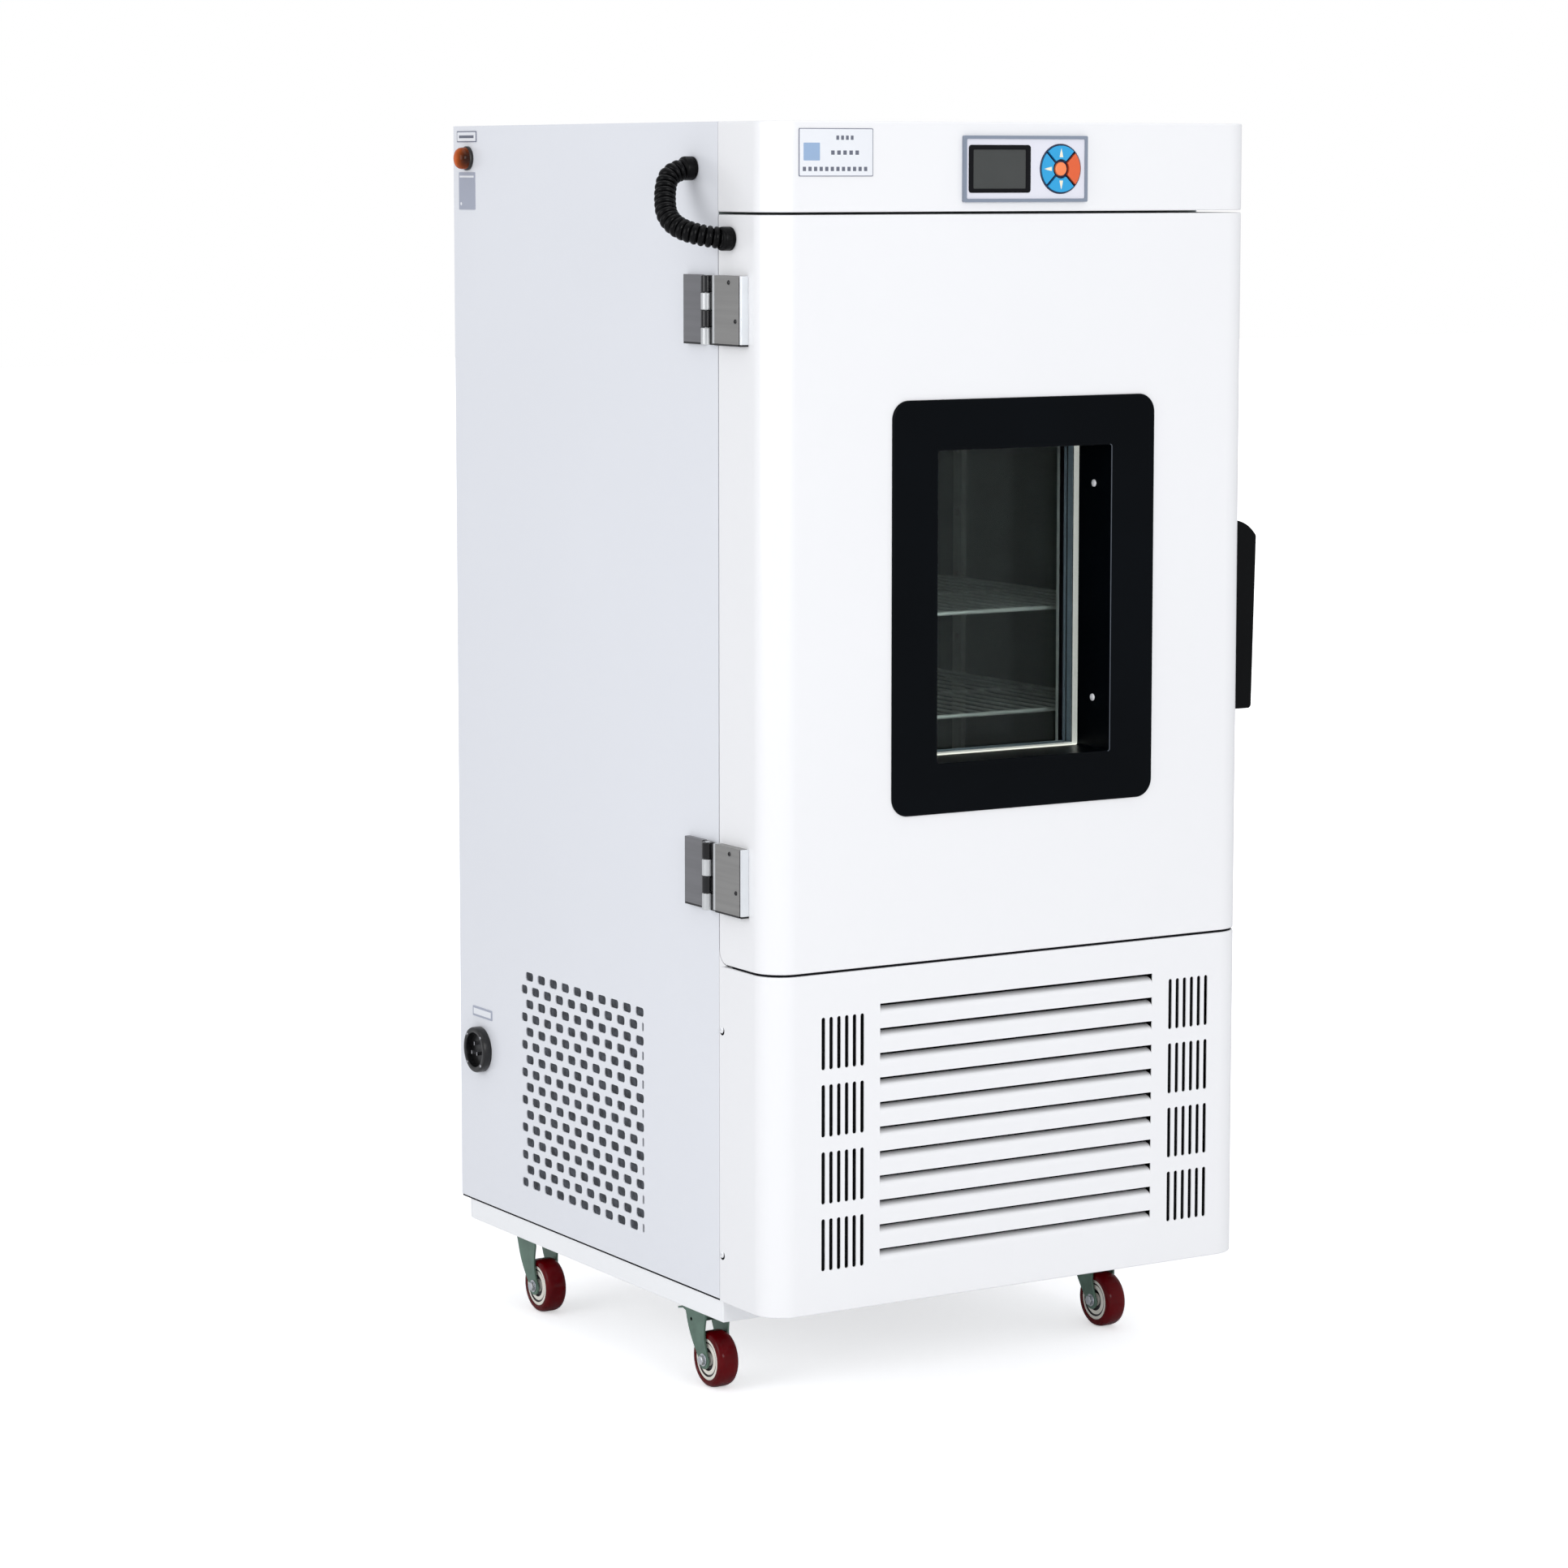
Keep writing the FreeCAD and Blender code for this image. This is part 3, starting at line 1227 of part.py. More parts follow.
def condenser_shroud():
    """Sheet collar behind the condenser that carries the fan's motor on two bars."""
    centre = condenser_fan_centre()
    y0 = COND_Y + COND_T
    y1 = y0 + SHROUD_DEPTH
    outer = (COND_X0, COND_X1, y0, y1, COND_Z0, COND_Z0 + COND_H)
    inner = (COND_X0 + SHROUD_T, COND_X1 - SHROUD_T, y0 - PAST, y1 - SHROUD_T,
             COND_Z0 + SHROUD_T, COND_Z0 + COND_H - SHROUD_T)
    shell = frame_box(outer, inner)
    mouth = bar(Vector(centre.x, y1 - SHROUD_T - PAST, centre.z), Y_AXIS,
                COND_FAN_R + FAN_CLEAR, SHROUD_T + 2 * PAST, WHEEL_SIDES)
    bracket = box(COND_X0, COND_X1, y1, y1 + BRACKET_T,
                  centre.z - BRACKET_H / 2, centre.z + BRACKET_H / 2)
    carrier = shell.cut(mouth).fuse([bracket, fan_motor(centre)])
    return carrier.cut(motor_bore(centre)).removeSplitter()


# Casters

def caster_places():
    """Name and swivel axis of each caster."""
    left = CASTER_INSET
    right = WIDTH - CASTER_INSET
    return (("front_left", left, CASTER_FRONT_Y), ("front_right", right, CASTER_FRONT_Y),
            ("rear_left", left, CASTER_REAR_Y), ("rear_right", right, CASTER_REAR_Y))


def race_floor():
    return CASTER_HEIGHT - CASTER_PLATE_T - RACE_H


def caster_plate(x, y):
    """Top plate with its bearing race and the king pin that holds the fork."""
    plate = box(x - PLATE_X / 2, x + PLATE_X / 2, y - PLATE_Y / 2, y + PLATE_Y / 2,
                CASTER_HEIGHT - CASTER_PLATE_T, CASTER_HEIGHT)
    race = bar(Vector(x, y, race_floor()), Z_AXIS, RACE_R, RACE_H, ROUND_SIDES)
    crown_low = FORK_CROWN_Z - FORK_T
    pin_low = crown_low - RACE_GAP - KING_HEAD_T
    low = Vector(x, y, pin_low)
    pin = rod(low, Z_AXIS, KING_PIN_R, race_floor() - pin_low)
    head = bar(low, Z_AXIS, KING_HEAD_R, KING_HEAD_T)
    return union([plate, race, pin, head])


def caster_plates():
    return Part.makeCompound([caster_plate(x, y) for _, x, y in caster_places()])


def fork_leg(x, axle_y, side):
    """One tapered leg from the crown down to the axle."""
    gap = WHEEL_W / 2 + FORK_GAP
    x0 = x + side * gap - (FORK_T if side < 0 else 0)
    centre_y = axle_y + CASTER_TRAIL
    top = FORK_CROWN_Z
    profile = [
        Vector(x0, centre_y - FORK_CROWN_R, top), Vector(x0, centre_y + FORK_CROWN_R, top),
        Vector(x0, centre_y + FORK_SKIRT_Y, top - FORK_SKIRT),
        Vector(x0, axle_y + FORK_FOOT_HALF, WHEEL_R - FORK_FOOT_DROP),
        Vector(x0, axle_y, WHEEL_R - FORK_FOOT_R),
        Vector(x0, axle_y - FORK_FOOT_HALF, WHEEL_R - FORK_FOOT_DROP),
        Vector(x0, centre_y - FORK_CROWN_R - FORK_BELLY, top - FORK_SKIRT),
    ]
    return prism(profile, Vector(FORK_T, 0, 0))


def caster_fork(x, y):
    """Pressed fork with its axle bolt and nut; the wheel trails toward the front."""
    axle_y = y - CASTER_TRAIL
    gap = WHEEL_W / 2 + FORK_GAP
    crown = box(x - gap - FORK_T, x + gap + FORK_T, y - FORK_CROWN_R, y + FORK_CROWN_R,
                FORK_CROWN_Z - FORK_T, FORK_CROWN_Z)
    legs = [fork_leg(x, axle_y, side) for side in (-1, 1)]
    king_bore = bore(Vector(x, y, FORK_CROWN_Z - FORK_T - PAST), Z_AXIS,
                     KING_PIN_R + KING_FIT, FORK_T + 2 * PAST)
    left = x - gap - FORK_T
    axle = rod(Vector(left, axle_y, WHEEL_R), X_AXIS, AXLE_R, 2 * (gap + FORK_T))
    head = bar(Vector(left - BOLT_T, axle_y, WHEEL_R), X_AXIS, BOLT_R, BOLT_T)
    nut = bar(Vector(x + gap + FORK_T, axle_y, WHEEL_R), X_AXIS, BOLT_R, BOLT_T)
    return union([crown] + legs + [axle, head, nut]).cut(king_bore)


def caster_wheel(x, y):
    """Wheel with a chamfered tread, a recessed hub face on each side and its bore."""
    centre = Vector(x, y - CASTER_TRAIL, WHEEL_R)
    half = WHEEL_W / 2
    profile = [(-half, WHEEL_R - WHEEL_CHAMFER), (WHEEL_CHAMFER - half, WHEEL_R),
               (half - WHEEL_CHAMFER, WHEEL_R), (half, WHEEL_R - WHEEL_CHAMFER)]
    wheel = faceted(centre, X_AXIS, profile, WHEEL_SIDES)
    cuts = [bore(centre - X_AXIS * (half + PAST), X_AXIS, AXLE_R + AXLE_FIT,
                 WHEEL_W + 2 * PAST)]
    for face in (-half, half - HUB_RECESS):
        cuts.append(bar(centre + X_AXIS * face, X_AXIS, HUB_R, HUB_RECESS, WHEEL_SIDES))
    return wheel.cut(cuts)


def brake_pedal(x, y):
    """Foot lever behind the fork, on a cross pin between the fork's legs."""
    pin_y = y - CASTER_TRAIL + PEDAL_BACK
    half = PEDAL_W / 2
    start = Vector(x - half, pin_y, PEDAL_Z)
    hub = bar(start, X_AXIS, PEDAL_PIN_R + PEDAL_T, PEDAL_W, ROUND_SIDES)
    arm = prism([
        Vector(x - half, pin_y, PEDAL_Z - PEDAL_T / 2),
        Vector(x - half, pin_y + PEDAL_BEND, PEDAL_Z + PEDAL_RISE),
        Vector(x - half, pin_y + PEDAL_LENGTH, PEDAL_Z + PEDAL_END_RISE),
        Vector(x - half, pin_y + PEDAL_LENGTH, PEDAL_Z + PEDAL_END_RISE + PEDAL_T),
        Vector(x - half, pin_y + PEDAL_BEND, PEDAL_Z + PEDAL_RISE + PEDAL_T),
        Vector(x - half, pin_y, PEDAL_Z + PEDAL_T),
    ], Vector(PEDAL_W, 0, 0))
    return union([hub, arm]).cut(bore(start, X_AXIS, PEDAL_PIN_R + AXLE_FIT, PEDAL_W))


def pedal_pin(x, y):
    gap = WHEEL_W / 2 + FORK_GAP
    pin_y = y - CASTER_TRAIL + PEDAL_BACK
    return rod(Vector(x - gap - FORK_T, pin_y, PEDAL_Z), X_AXIS, PEDAL_PIN_R,
               2 * (gap + FORK_T))


def save_casters():
    save("caster_plates", caster_plates())
    for name, x, y in caster_places():
        fork = caster_fork(x, y)
        if name.startswith("front"):
            fork = fork.fuse(pedal_pin(x, y))
            save("brake_pedal_" + name, brake_pedal(x, y))
        save("caster_fork_" + name, fork)
        save("caster_wheel_" + name, caster_wheel(x, y))


def save_cabinet():
    save("base_frame", base_frame())
    save("side_panel_left", side_panel_left())
    save("side_panel_right", side_panel_right())
    save("rear_panel", rear_panel())
    save("top_cover", top_cover())
    save("front_fascia", front_fascia())
    save("lower_front_panel", lower_front_panel())
    save("face_frame", face_frame())
    save("inner_liner", inner_liner())
    save("insulation", insulation())
    save("intake_filter", intake_filter())
    save("hinge_fixed_leaves", Part.makeCompound([fixed_leaf(z) for z in HINGE_Z]))
    save("hinge_pins", Part.makeCompound([hinge_pin(z) for z in HINGE_Z]))
    save("indicator_lamp", indicator_lamp())
    save("power_inlet", power_inlet())
    save("label_plates", plate_group())


def save_door():
    save("door_shell", door_shell())
    save("door_liner", door_liner())
    save("door_insulation", door_insulation())
    save("door_gasket", door_gasket())
    save("window_frame", window_frame())
    panes = [pane(TUNNEL_DEPTH), pane(TUNNEL_DEPTH + PANE_T + SPACER_T)]
    save("glass_panes", Part.makeCompound(panes))
    save("glazing_spacer", glazing_spacer())
    save("hinge_door_leaves", Part.makeCompound([door_leaf(z) for z in HINGE_Z]))
    save("door_handle", handle())
    save("door_hose", hose())
    save("hose_cuff_cabinet", cuff(HOSE_TOP))
    save("hose_cuff_door", cuff(HOSE_FOOT))


def save_controls():
    save("controller_bezel", bezel())
    save("lcd_screen", lcd_screen())
    save("keypad_base", keypad_base())
    save("control_box", control_box())
    for name in KEY_PLACES:
        save("key_" + name, key(name))


def save_chamber():
    supports = [shelf_supports(CAVITY_X0, 1), shelf_supports(CAVITY_X1, -1)]
    save("shelf_supports", Part.makeCompound(supports))
    save("shelf_lower", wire_shelf(SHELF_Z[0]))
    save("shelf_upper", wire_shelf(SHELF_Z[1]))
    save("air_duct_panel", air_duct_panel())
    save("evaporator", evaporator())
    save("air_heater", air_heater())
    save("circulation_fan", fan_wheel(circulation_fan_centre(), FAN_R))
    save("circulation_motor", circulation_motor())


def save_machine():
    save("compressor", compressor())
    save("condenser", condenser())
    save("condenser_shroud", condenser_shroud())
    save("condenser_fan", fan_wheel(condenser_fan_centre(), COND_FAN_R))


os.makedirs("parts", exist_ok=True)
save_cabinet()
save_door()
save_controls()
save_chamber()
save_machine()
save_casters()
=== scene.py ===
import math

import bmesh
import bpy
from mathutils import Matrix, Vector


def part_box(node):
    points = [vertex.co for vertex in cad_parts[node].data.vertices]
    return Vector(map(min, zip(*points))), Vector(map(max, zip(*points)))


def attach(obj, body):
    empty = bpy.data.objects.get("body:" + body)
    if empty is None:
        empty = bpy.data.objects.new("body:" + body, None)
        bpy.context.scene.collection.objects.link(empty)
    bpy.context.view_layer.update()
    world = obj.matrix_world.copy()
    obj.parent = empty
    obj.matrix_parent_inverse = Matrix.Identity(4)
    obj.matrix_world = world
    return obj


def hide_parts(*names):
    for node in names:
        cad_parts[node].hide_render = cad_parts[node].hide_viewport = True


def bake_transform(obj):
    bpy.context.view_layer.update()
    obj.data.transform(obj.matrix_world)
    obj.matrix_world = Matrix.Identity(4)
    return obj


# Looks of a seed germination chamber: enamelled casing, dark window surround,
# corrugated hose, plated hinges, keypad, louvres, filter grille and casters.

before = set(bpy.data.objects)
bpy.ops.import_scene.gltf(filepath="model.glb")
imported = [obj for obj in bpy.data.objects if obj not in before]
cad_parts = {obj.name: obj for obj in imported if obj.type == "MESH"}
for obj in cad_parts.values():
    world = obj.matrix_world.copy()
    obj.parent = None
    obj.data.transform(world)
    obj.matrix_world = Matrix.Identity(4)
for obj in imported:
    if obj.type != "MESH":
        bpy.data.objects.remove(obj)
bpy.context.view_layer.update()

# Every piece is drawn in millimetres from the cabinet's front left corner on the floor
MM = 0.001
CORNER = Vector((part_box("side_panel_left")[0].x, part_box("front_fascia")[0].y, 0.0))
SHEET = 1.5


def limits(node):
    """Lowest and highest corners of a CAD node, in millimetres from the cabinet's corner."""
    low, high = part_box(node)
    return (low - CORNER) / MM, (high - CORNER) / MM


def centre_of(node):
    low, high = limits(node)
    return (low + high) / 2


WIDTH = limits("top_cover")[1].x
DEPTH = limits("top_cover")[1].y
HEIGHT = limits("top_cover")[1].z

X_AXIS = Vector((1, 0, 0))
Y_AXIS = Vector((0, 1, 0))
Z_AXIS = Vector((0, 0, 1))


# Materials

def linear(colour):
    """Scene colour of an everyday 0 to 255 colour."""
    values = []
    for channel in colour:
        share = channel / 255
        low = share / 12.92
        high = ((share + 0.055) / 1.055) ** 2.4
        values.append(low if share <= 0.04045 else high)
    return (*values, 1.0)


def node(tree, kind, inputs=None, **settings):
    """New shader node with its settings and the values of its inputs."""
    made = tree.nodes.new("ShaderNode" + kind)
    for name, value in settings.items():
        setattr(made, name, value)
    set_inputs(made, inputs or {})
    return made


def set_inputs(target, values):
    for name, value in values.items():
        target.inputs[name].default_value = value


def wire(source, output, target, name):
    """Link an output of one shader node to an input of another."""
    source.id_data.links.new(source.outputs[output], target.inputs[name])


def new_material(name):
    """New material, its node tree and its main shader."""
    material = bpy.data.materials.new(name)
    material.use_nodes = True
    return material, material.node_tree, shader_of(material)


def shader_of(material):
    return material.node_tree.nodes["Principled BSDF"]


def surface(name, colour, roughness, metallic=0.0, grain=900.0, bump=0.02, mottle=0.03,
            mottle_scale=6.0, wear=0.06, coat=0.0, stretch=(1, 1, 1), specular=0.5,
            transmission=0.0, sheen=0.0):
    """Surface with fine grain in its relief, soft mottling and uneven roughness."""
    material, tree, shader = new_material(name)
    set_inputs(shader, {"Metallic": metallic, "Coat Weight": coat, "Coat Roughness": 0.08,
                        "Specular IOR Level": specular, "Transmission Weight": transmission,
                        "Sheen Weight": sheen})
    place = node(tree, "TexCoord")
    stretched = node(tree, "Mapping", {"Scale": stretch})
    wire(place, "Object", stretched, "Vector")

    patches = node(tree, "TexNoise", {"Scale": mottle_scale, "Detail": 4.0})
    wire(stretched, "Vector", patches, "Vector")
    tint = node(tree, "ValToRGB")
    base = linear(colour)[:3]
    for number, position, share in ((0, 0.35, 1 - mottle), (1, 0.65, 1 + mottle)):
        shade = [min(channel * share, 1.0) for channel in base]
        tint.color_ramp.elements[number].position = position
        tint.color_ramp.elements[number].color = (*shade, 1.0)
    wire(patches, "Fac", tint, "Fac")
    wire(tint, "Color", shader, "Base Color")

    rough = node(tree, "MapRange", {"To Min": max(roughness - wear, 0.02),
                                    "To Max": min(roughness + wear, 1.0)})
    wire(patches, "Fac", rough, "Value")
    wire(rough, "Result", shader, "Roughness")

    fine = node(tree, "TexNoise", {"Scale": grain, "Detail": 3.0})
    wire(stretched, "Vector", fine, "Vector")
    relief = node(tree, "Bump", {"Strength": bump, "Distance": 0.001})
    wire(fine, "Fac", relief, "Height")
    wire(relief, "Normal", shader, "Normal")
    return material


def enamel(name, colour, roughness=0.3):
    """Baked powder coat: smooth, faintly uneven, with a fine orange peel."""
    return surface(name, colour, roughness, grain=420.0, bump=0.035, mottle=0.006,
                   mottle_scale=2.0, wear=0.03, coat=0.25)


def brushed(name, colour, roughness, stretch, bump=0.05):
    """Metal with a directional grain."""
    return surface(name, colour, roughness, metallic=1.0, grain=260.0, bump=bump, mottle=0.05,
                   mottle_scale=30.0, wear=0.08, stretch=stretch)


def plated(name, colour, roughness, metallic=0.4, bump=0.04, mottle=0.05, grain_length=30, **more):
    """Half-bright sheet metal with an upright grain."""
    return surface(name, colour, roughness, metallic=metallic, grain=260.0, bump=bump,
                   mottle=mottle, stretch=(1, 1, grain_length), **more)


def glazing_material():
    """Clear coated pane with a faint green cast and little mirroring."""
    material = surface("pane_glass", (238, 243, 241), 0.02, bump=0.0, grain=3.0, mottle=0.01,
                       wear=0.01, transmission=1.0)
    set_inputs(shader_of(material), {"IOR": PANE_IOR})
    return material


def lamp_material_painted_shade():
    """Amber lens with painted shade: amber to the rear, darkened to brown towards the front of the
    cabinet.
    """
    material = surface("lamp_lens_painted_shade", (206, 92, 16), 0.12, grain=300.0, bump=0.03, mottle=0.3,
                       mottle_scale=40.0, coat=0.12, specular=0.12)
    tree = material.node_tree
    shader = shader_of(material)
    tint = shader.inputs["Base Color"].links[0].from_node
    low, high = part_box("indicator_lamp")
    place = node(tree, "TexCoord")
    parts = node(tree, "SeparateXYZ")
    wire(place, "Object", parts, "Vector")
    along = node(tree, "MapRange", {"From Min": low.y, "From Max": (low.y + 2 * high.y) / 3},
                 interpolation_type="SMOOTHSTEP")
    wire(parts, "Y", along, "Value")
    # Mix towards dark brown at the front: painted shade on the lens.
    shade = node(tree, "Mix", {"A": linear((38, 14, 4))}, data_type="RGBA")
    wire(along, "Result", shade, "Factor")
    wire(tint, "Color", shade, "B")
    wire(shade, "Result", shader, "Base Color")
    return material


PANE_IOR = 1.19
SPACER_PAINTED_GLOW = 0.38

# Side enamel darker and bluer than the front enamel: painted shade on the sides and top.
SIDE_WHITE_PAINTED_SHADE = enamel("side_enamel_painted_shade", (232, 234, 239))
FRONT_WHITE = enamel("front_enamel", (243, 243, 244))
# Base enamel whiter than the front enamel: painted light against the shade under the casing.
BASE_WHITE_PAINTED_LIGHT = enamel("base_enamel_painted_light", (249, 250, 251), 0.36)
REAR_GREY = enamel("rear_enamel", (219, 222, 226), 0.4)
WINDOW_BLACK = surface("window_moulding", (3, 6, 10), 0.34, grain=1500.0, bump=0.05, mottle=0.15,
                       wear=0.05, specular=0.07)
WINDOW_EDGE_HIGHLIGHT = surface("window_moulding_painted_highlight", (78, 84, 92), 0.3, mottle=0.05, specular=0.3)
HANDLE_BLACK = surface("handle_plastic", (5, 6, 7), 0.4, grain=1800.0, bump=0.12, mottle=0.12,
                       wear=0.07, specular=0.1)
HOSE_BLACK = surface("hose_plastic", (4, 4, 5), 0.26, bump=0.05, mottle=0.2, mottle_scale=60.0,
                     wear=0.08, specular=0.13)
CUFF_BLACK = surface("cuff_plastic", (5, 5, 6), 0.32, grain=1600.0, bump=0.08, mottle=0.15,
                     wear=0.07, specular=0.12)
RUBBER_GREY = surface("gasket_rubber", (92, 96, 102), 0.7, bump=0.15, mottle=0.08, sheen=0.1)
PANE = glazing_material()
SPACER_WHITE_PAINTED_GLOW = plated("spacer_white_painted_glow", (244, 244, 240), 0.3, metallic=0.1, bump=0.03, mottle=0.02,
                       grain_length=40)
# The white strip glows a little though it is no lamp: painted light on the spacer.
set_inputs(shader_of(SPACER_WHITE_PAINTED_GLOW), {"Emission Color": linear((244, 242, 236)),
                                      "Emission Strength": SPACER_PAINTED_GLOW})
SPACER_BLUE = plated("spacer_blue_grey", (150, 168, 182), 0.3, metallic=0.2, bump=0.03, mottle=0.04,
                     grain_length=40)
SPACER_DARK = surface("spacer_seal", (34, 42, 48), 0.4, bump=0.05, mottle=0.1)
LINER_STEEL = surface("liner_steel", (134, 143, 142), 0.4, metallic=0.4, grain=260.0, bump=0.05,
                      mottle=0.06, mottle_scale=14.0, stretch=(40, 1, 1))
DUCT_STEEL = plated("duct_steel", (128, 137, 136), 0.42, bump=0.05, mottle=0.06, mottle_scale=14.0,
                    grain_length=40)
SHELF_STEEL = surface("shelf_steel", (236, 237, 236), 0.22, metallic=0.35, grain=600.0, mottle=0.05,
                      mottle_scale=60.0)
POST_STEEL = plated("post_steel", (204, 205, 202), 0.34, metallic=0.35, mottle=0.04)
HINGE_DARK = plated("hinge_dark_zinc", (122, 122, 125), 0.45)
HINGE_MID = plated("hinge_mid_zinc", (144, 143, 141), 0.45)
HINGE_HIGHLIGHT = plated("hinge_highlight_zinc", (204, 206, 207), 0.3, bump=0.03, mottle=0.03,
                     grain_length=8)
HINGE_BRIGHT = plated("hinge_bright", (226, 229, 232), 0.2, metallic=0.35, bump=0.02, mottle=0.02,
                      grain_length=8)
# Near-black hinge finish: painted shade, shadow and dark reflection on the hinges.
HINGE_SHADE = plated("hinge_painted_shade", (12, 12, 15), 0.16, metallic=0.0, bump=0.02, grain_length=8)
FOAM = surface("foam_core", (222, 205, 160), 0.9, grain=400.0, bump=0.5, mottle=0.08,
               mottle_scale=40.0)
FILTER = surface("filter_foam", (64, 67, 73), 0.9, grain=700.0, bump=0.7, mottle=0.45,
                 mottle_scale=120.0, wear=0.05)
LAMP_AMBER_PAINTED_SHADE = lamp_material_painted_shade()
# Near-black finish for painted shade: the sheet behind the louvres, the joint strip, the side seam
# and the rings under screws.
PAINTED_SHADE_DARK = surface("painted_shade_sheet", (16, 16, 20), 0.8, mottle=0.05, specular=0.1)
LAMP_BASE = surface("lamp_base", (24, 18, 16), 0.35, mottle=0.1)
PLATE_GREY = surface("plate_grey", (167, 172, 187), 0.34)
PLATE_WHITE = surface("plate_white", (236, 238, 242), 0.3, mottle=0.01, bump=0.01)
PLATE_FRAME = surface("plate_border", (112, 116, 134), 0.4, mottle=0.04)
PLATE_BAR = surface("plate_bar", (104, 108, 122), 0.4, mottle=0.04)
PLATE_BLUE = surface("plate_pale_blue", (150, 176, 208), 0.4, mottle=0.04)
BEZEL_RIM_PAINT = surface("bezel_rim", (132, 142, 158), 0.36, bump=0.03)
BEZEL_FACE = surface("bezel_face", (229, 229, 238), 0.34, mottle=0.01)
SCREEN_BLACK = surface("screen_surround", (12, 12, 16), 0.3, mottle=0.05, bump=0.01, specular=0.15)
SCREEN_GLASS = surface("screen_panel", (72, 74, 73), 0.2, mottle=0.04, bump=0.004,
                       mottle_scale=14.0, specular=0.2)
PAD_NAVY = surface("keypad_navy", (30, 38, 72), 0.4, mottle=0.06, bump=0.03)
KEY_BLUE = surface("key_blue", (42, 162, 218), 0.36, bump=0.03)
KEY_ORANGE = surface("key_orange", (226, 98, 52), 0.36, bump=0.03)
KEY_CENTRE = surface("key_centre_orange", (255, 138, 84), 0.36, bump=0.03)
KEY_MARK = surface("key_mark", (244, 238, 214), 0.4, mottle=0.01, bump=0.01)
SOCKET_BLACK = surface("socket_plastic", (9, 9, 10), 0.3, grain=1500.0, bump=0.08, mottle=0.15)
PIN_BRASS = brushed("contact_metal", (186, 186, 190), 0.25, (1, 1, 1), 0.02)
SCREW_STEEL = brushed("screw_zinc", (205, 208, 212), 0.26, (1, 1, 1), 0.02)
SCREW_WHITE = enamel("screw_enamel", (240, 241, 243), 0.25)
TREAD_RED = surface("tread_urethane", (92, 0, 6), 0.14, grain=120.0, mottle=0.12, mottle_scale=40.0,
                    coat=0.16, specular=0.08)
HUB_CREAM = surface("hub_cream", (246, 241, 230), 0.4, mottle=0.04, bump=0.04)
HUB_GROOVE_SHADE = surface("hub_groove_shade", (38, 32, 34), 0.4, mottle=0.1, bump=0.04)
FORK_ZINC = surface("fork_zinc", (96, 122, 108), 0.34, metallic=0.45, grain=500.0, bump=0.05,
                    mottle=0.14, mottle_scale=45.0, wear=0.1)
COIL_METAL = brushed("coil_aluminium", (176, 182, 188), 0.4, (1, 40, 1))
COMPRESSOR_BLACK = surface("compressor_paint", (20, 21, 23), 0.4, grain=500.0, bump=0.1, mottle=0.1)
SHROUD_ZINC = brushed("shroud_zinc", (158, 162, 166), 0.42, (30, 1, 1))
FAN_GREY = surface("fan_plastic", (62, 65, 70), 0.45, mottle=0.06, bump=0.06)
MOTOR_GREY = surface("motor_paint", (88, 92, 98), 0.45, mottle=0.06, bump=0.08)
HEATER_DARK = brushed("heater_sheath", (96, 88, 84), 0.4, (30, 1, 1))

FINISHES = (
    (BASE_WHITE_PAINTED_LIGHT, "base_frame"),
    (SIDE_WHITE_PAINTED_SHADE, "side_panel_left side_panel_right top_cover"),
    (REAR_GREY, "rear_panel"),
    (FRONT_WHITE, "front_fascia lower_front_panel door_shell door_liner"),
    (LINER_STEEL, "face_frame inner_liner"),
    (FOAM, "insulation door_insulation"),
    (FILTER, "intake_filter"),
    (HINGE_DARK, "hinge_fixed_leaves"),
    (HINGE_BRIGHT, "hinge_pins"),
    (LAMP_AMBER_PAINTED_SHADE, "indicator_lamp"),
    (SOCKET_BLACK, "power_inlet"),
    (PLATE_GREY, "label_plates"),
    (CUFF_BLACK, "hose_cuff_cabinet hose_cuff_door"),
    (HOSE_BLACK, "door_hose"),
    (BEZEL_FACE, "controller_bezel"),
    (SCREEN_BLACK, "lcd_screen"),
    (PAD_NAVY, "keypad_base"),
    (SHROUD_ZINC, "control_box condenser_shroud"),
    (POST_STEEL, "shelf_supports"),
    (DUCT_STEEL, "air_duct_panel"),
    (COIL_METAL, "evaporator condenser"),
    (HEATER_DARK, "air_heater"),
    (MOTOR_GREY, "circulation_motor"),
    (COMPRESSOR_BLACK, "compressor"),
    (FORK_ZINC, "caster_plates"),
    (RUBBER_GREY, "door_gasket"),
    (WINDOW_BLACK, "window_frame"),
    (PANE, "glass_panes"),
    (SPACER_BLUE, "glazing_spacer"),
    (HINGE_MID, "hinge_door_leaves"),
    (HANDLE_BLACK, "door_handle"),
    (KEY_BLUE, "key_up key_down key_left"),
    (KEY_ORANGE, "key_right"),
    (KEY_CENTRE, "key_centre"),
    (SHELF_STEEL, "shelf_lower shelf_upper"),
    (FAN_GREY, "circulation_fan condenser_fan"),
)
NODE_FINISH = {name: finish for finish, names in FINISHES for name in names.split()}
CASTERS = ("front_left", "front_right", "rear_left", "rear_right")
for place_name in CASTERS:
    NODE_FINISH["caster_fork_" + place_name] = FORK_ZINC
    NODE_FINISH["caster_wheel_" + place_name] = TREAD_RED
    if place_name.startswith("front"):
        NODE_FINISH["brake_pedal_" + place_name] = FORK_ZINC

for node_name, cad_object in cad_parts.items():
    cad_object.data.materials.clear()
    cad_object.data.materials.append(NODE_FINISH[node_name])
    cad_object.data.set_sharp_from_angle(angle=math.radians(32))


# Mesh building, in millimetres


def add_object(name, data):
    """New object in the scene."""
    made = bpy.data.objects.new(name, data)
    bpy.context.scene.collection.objects.link(made)
    return made


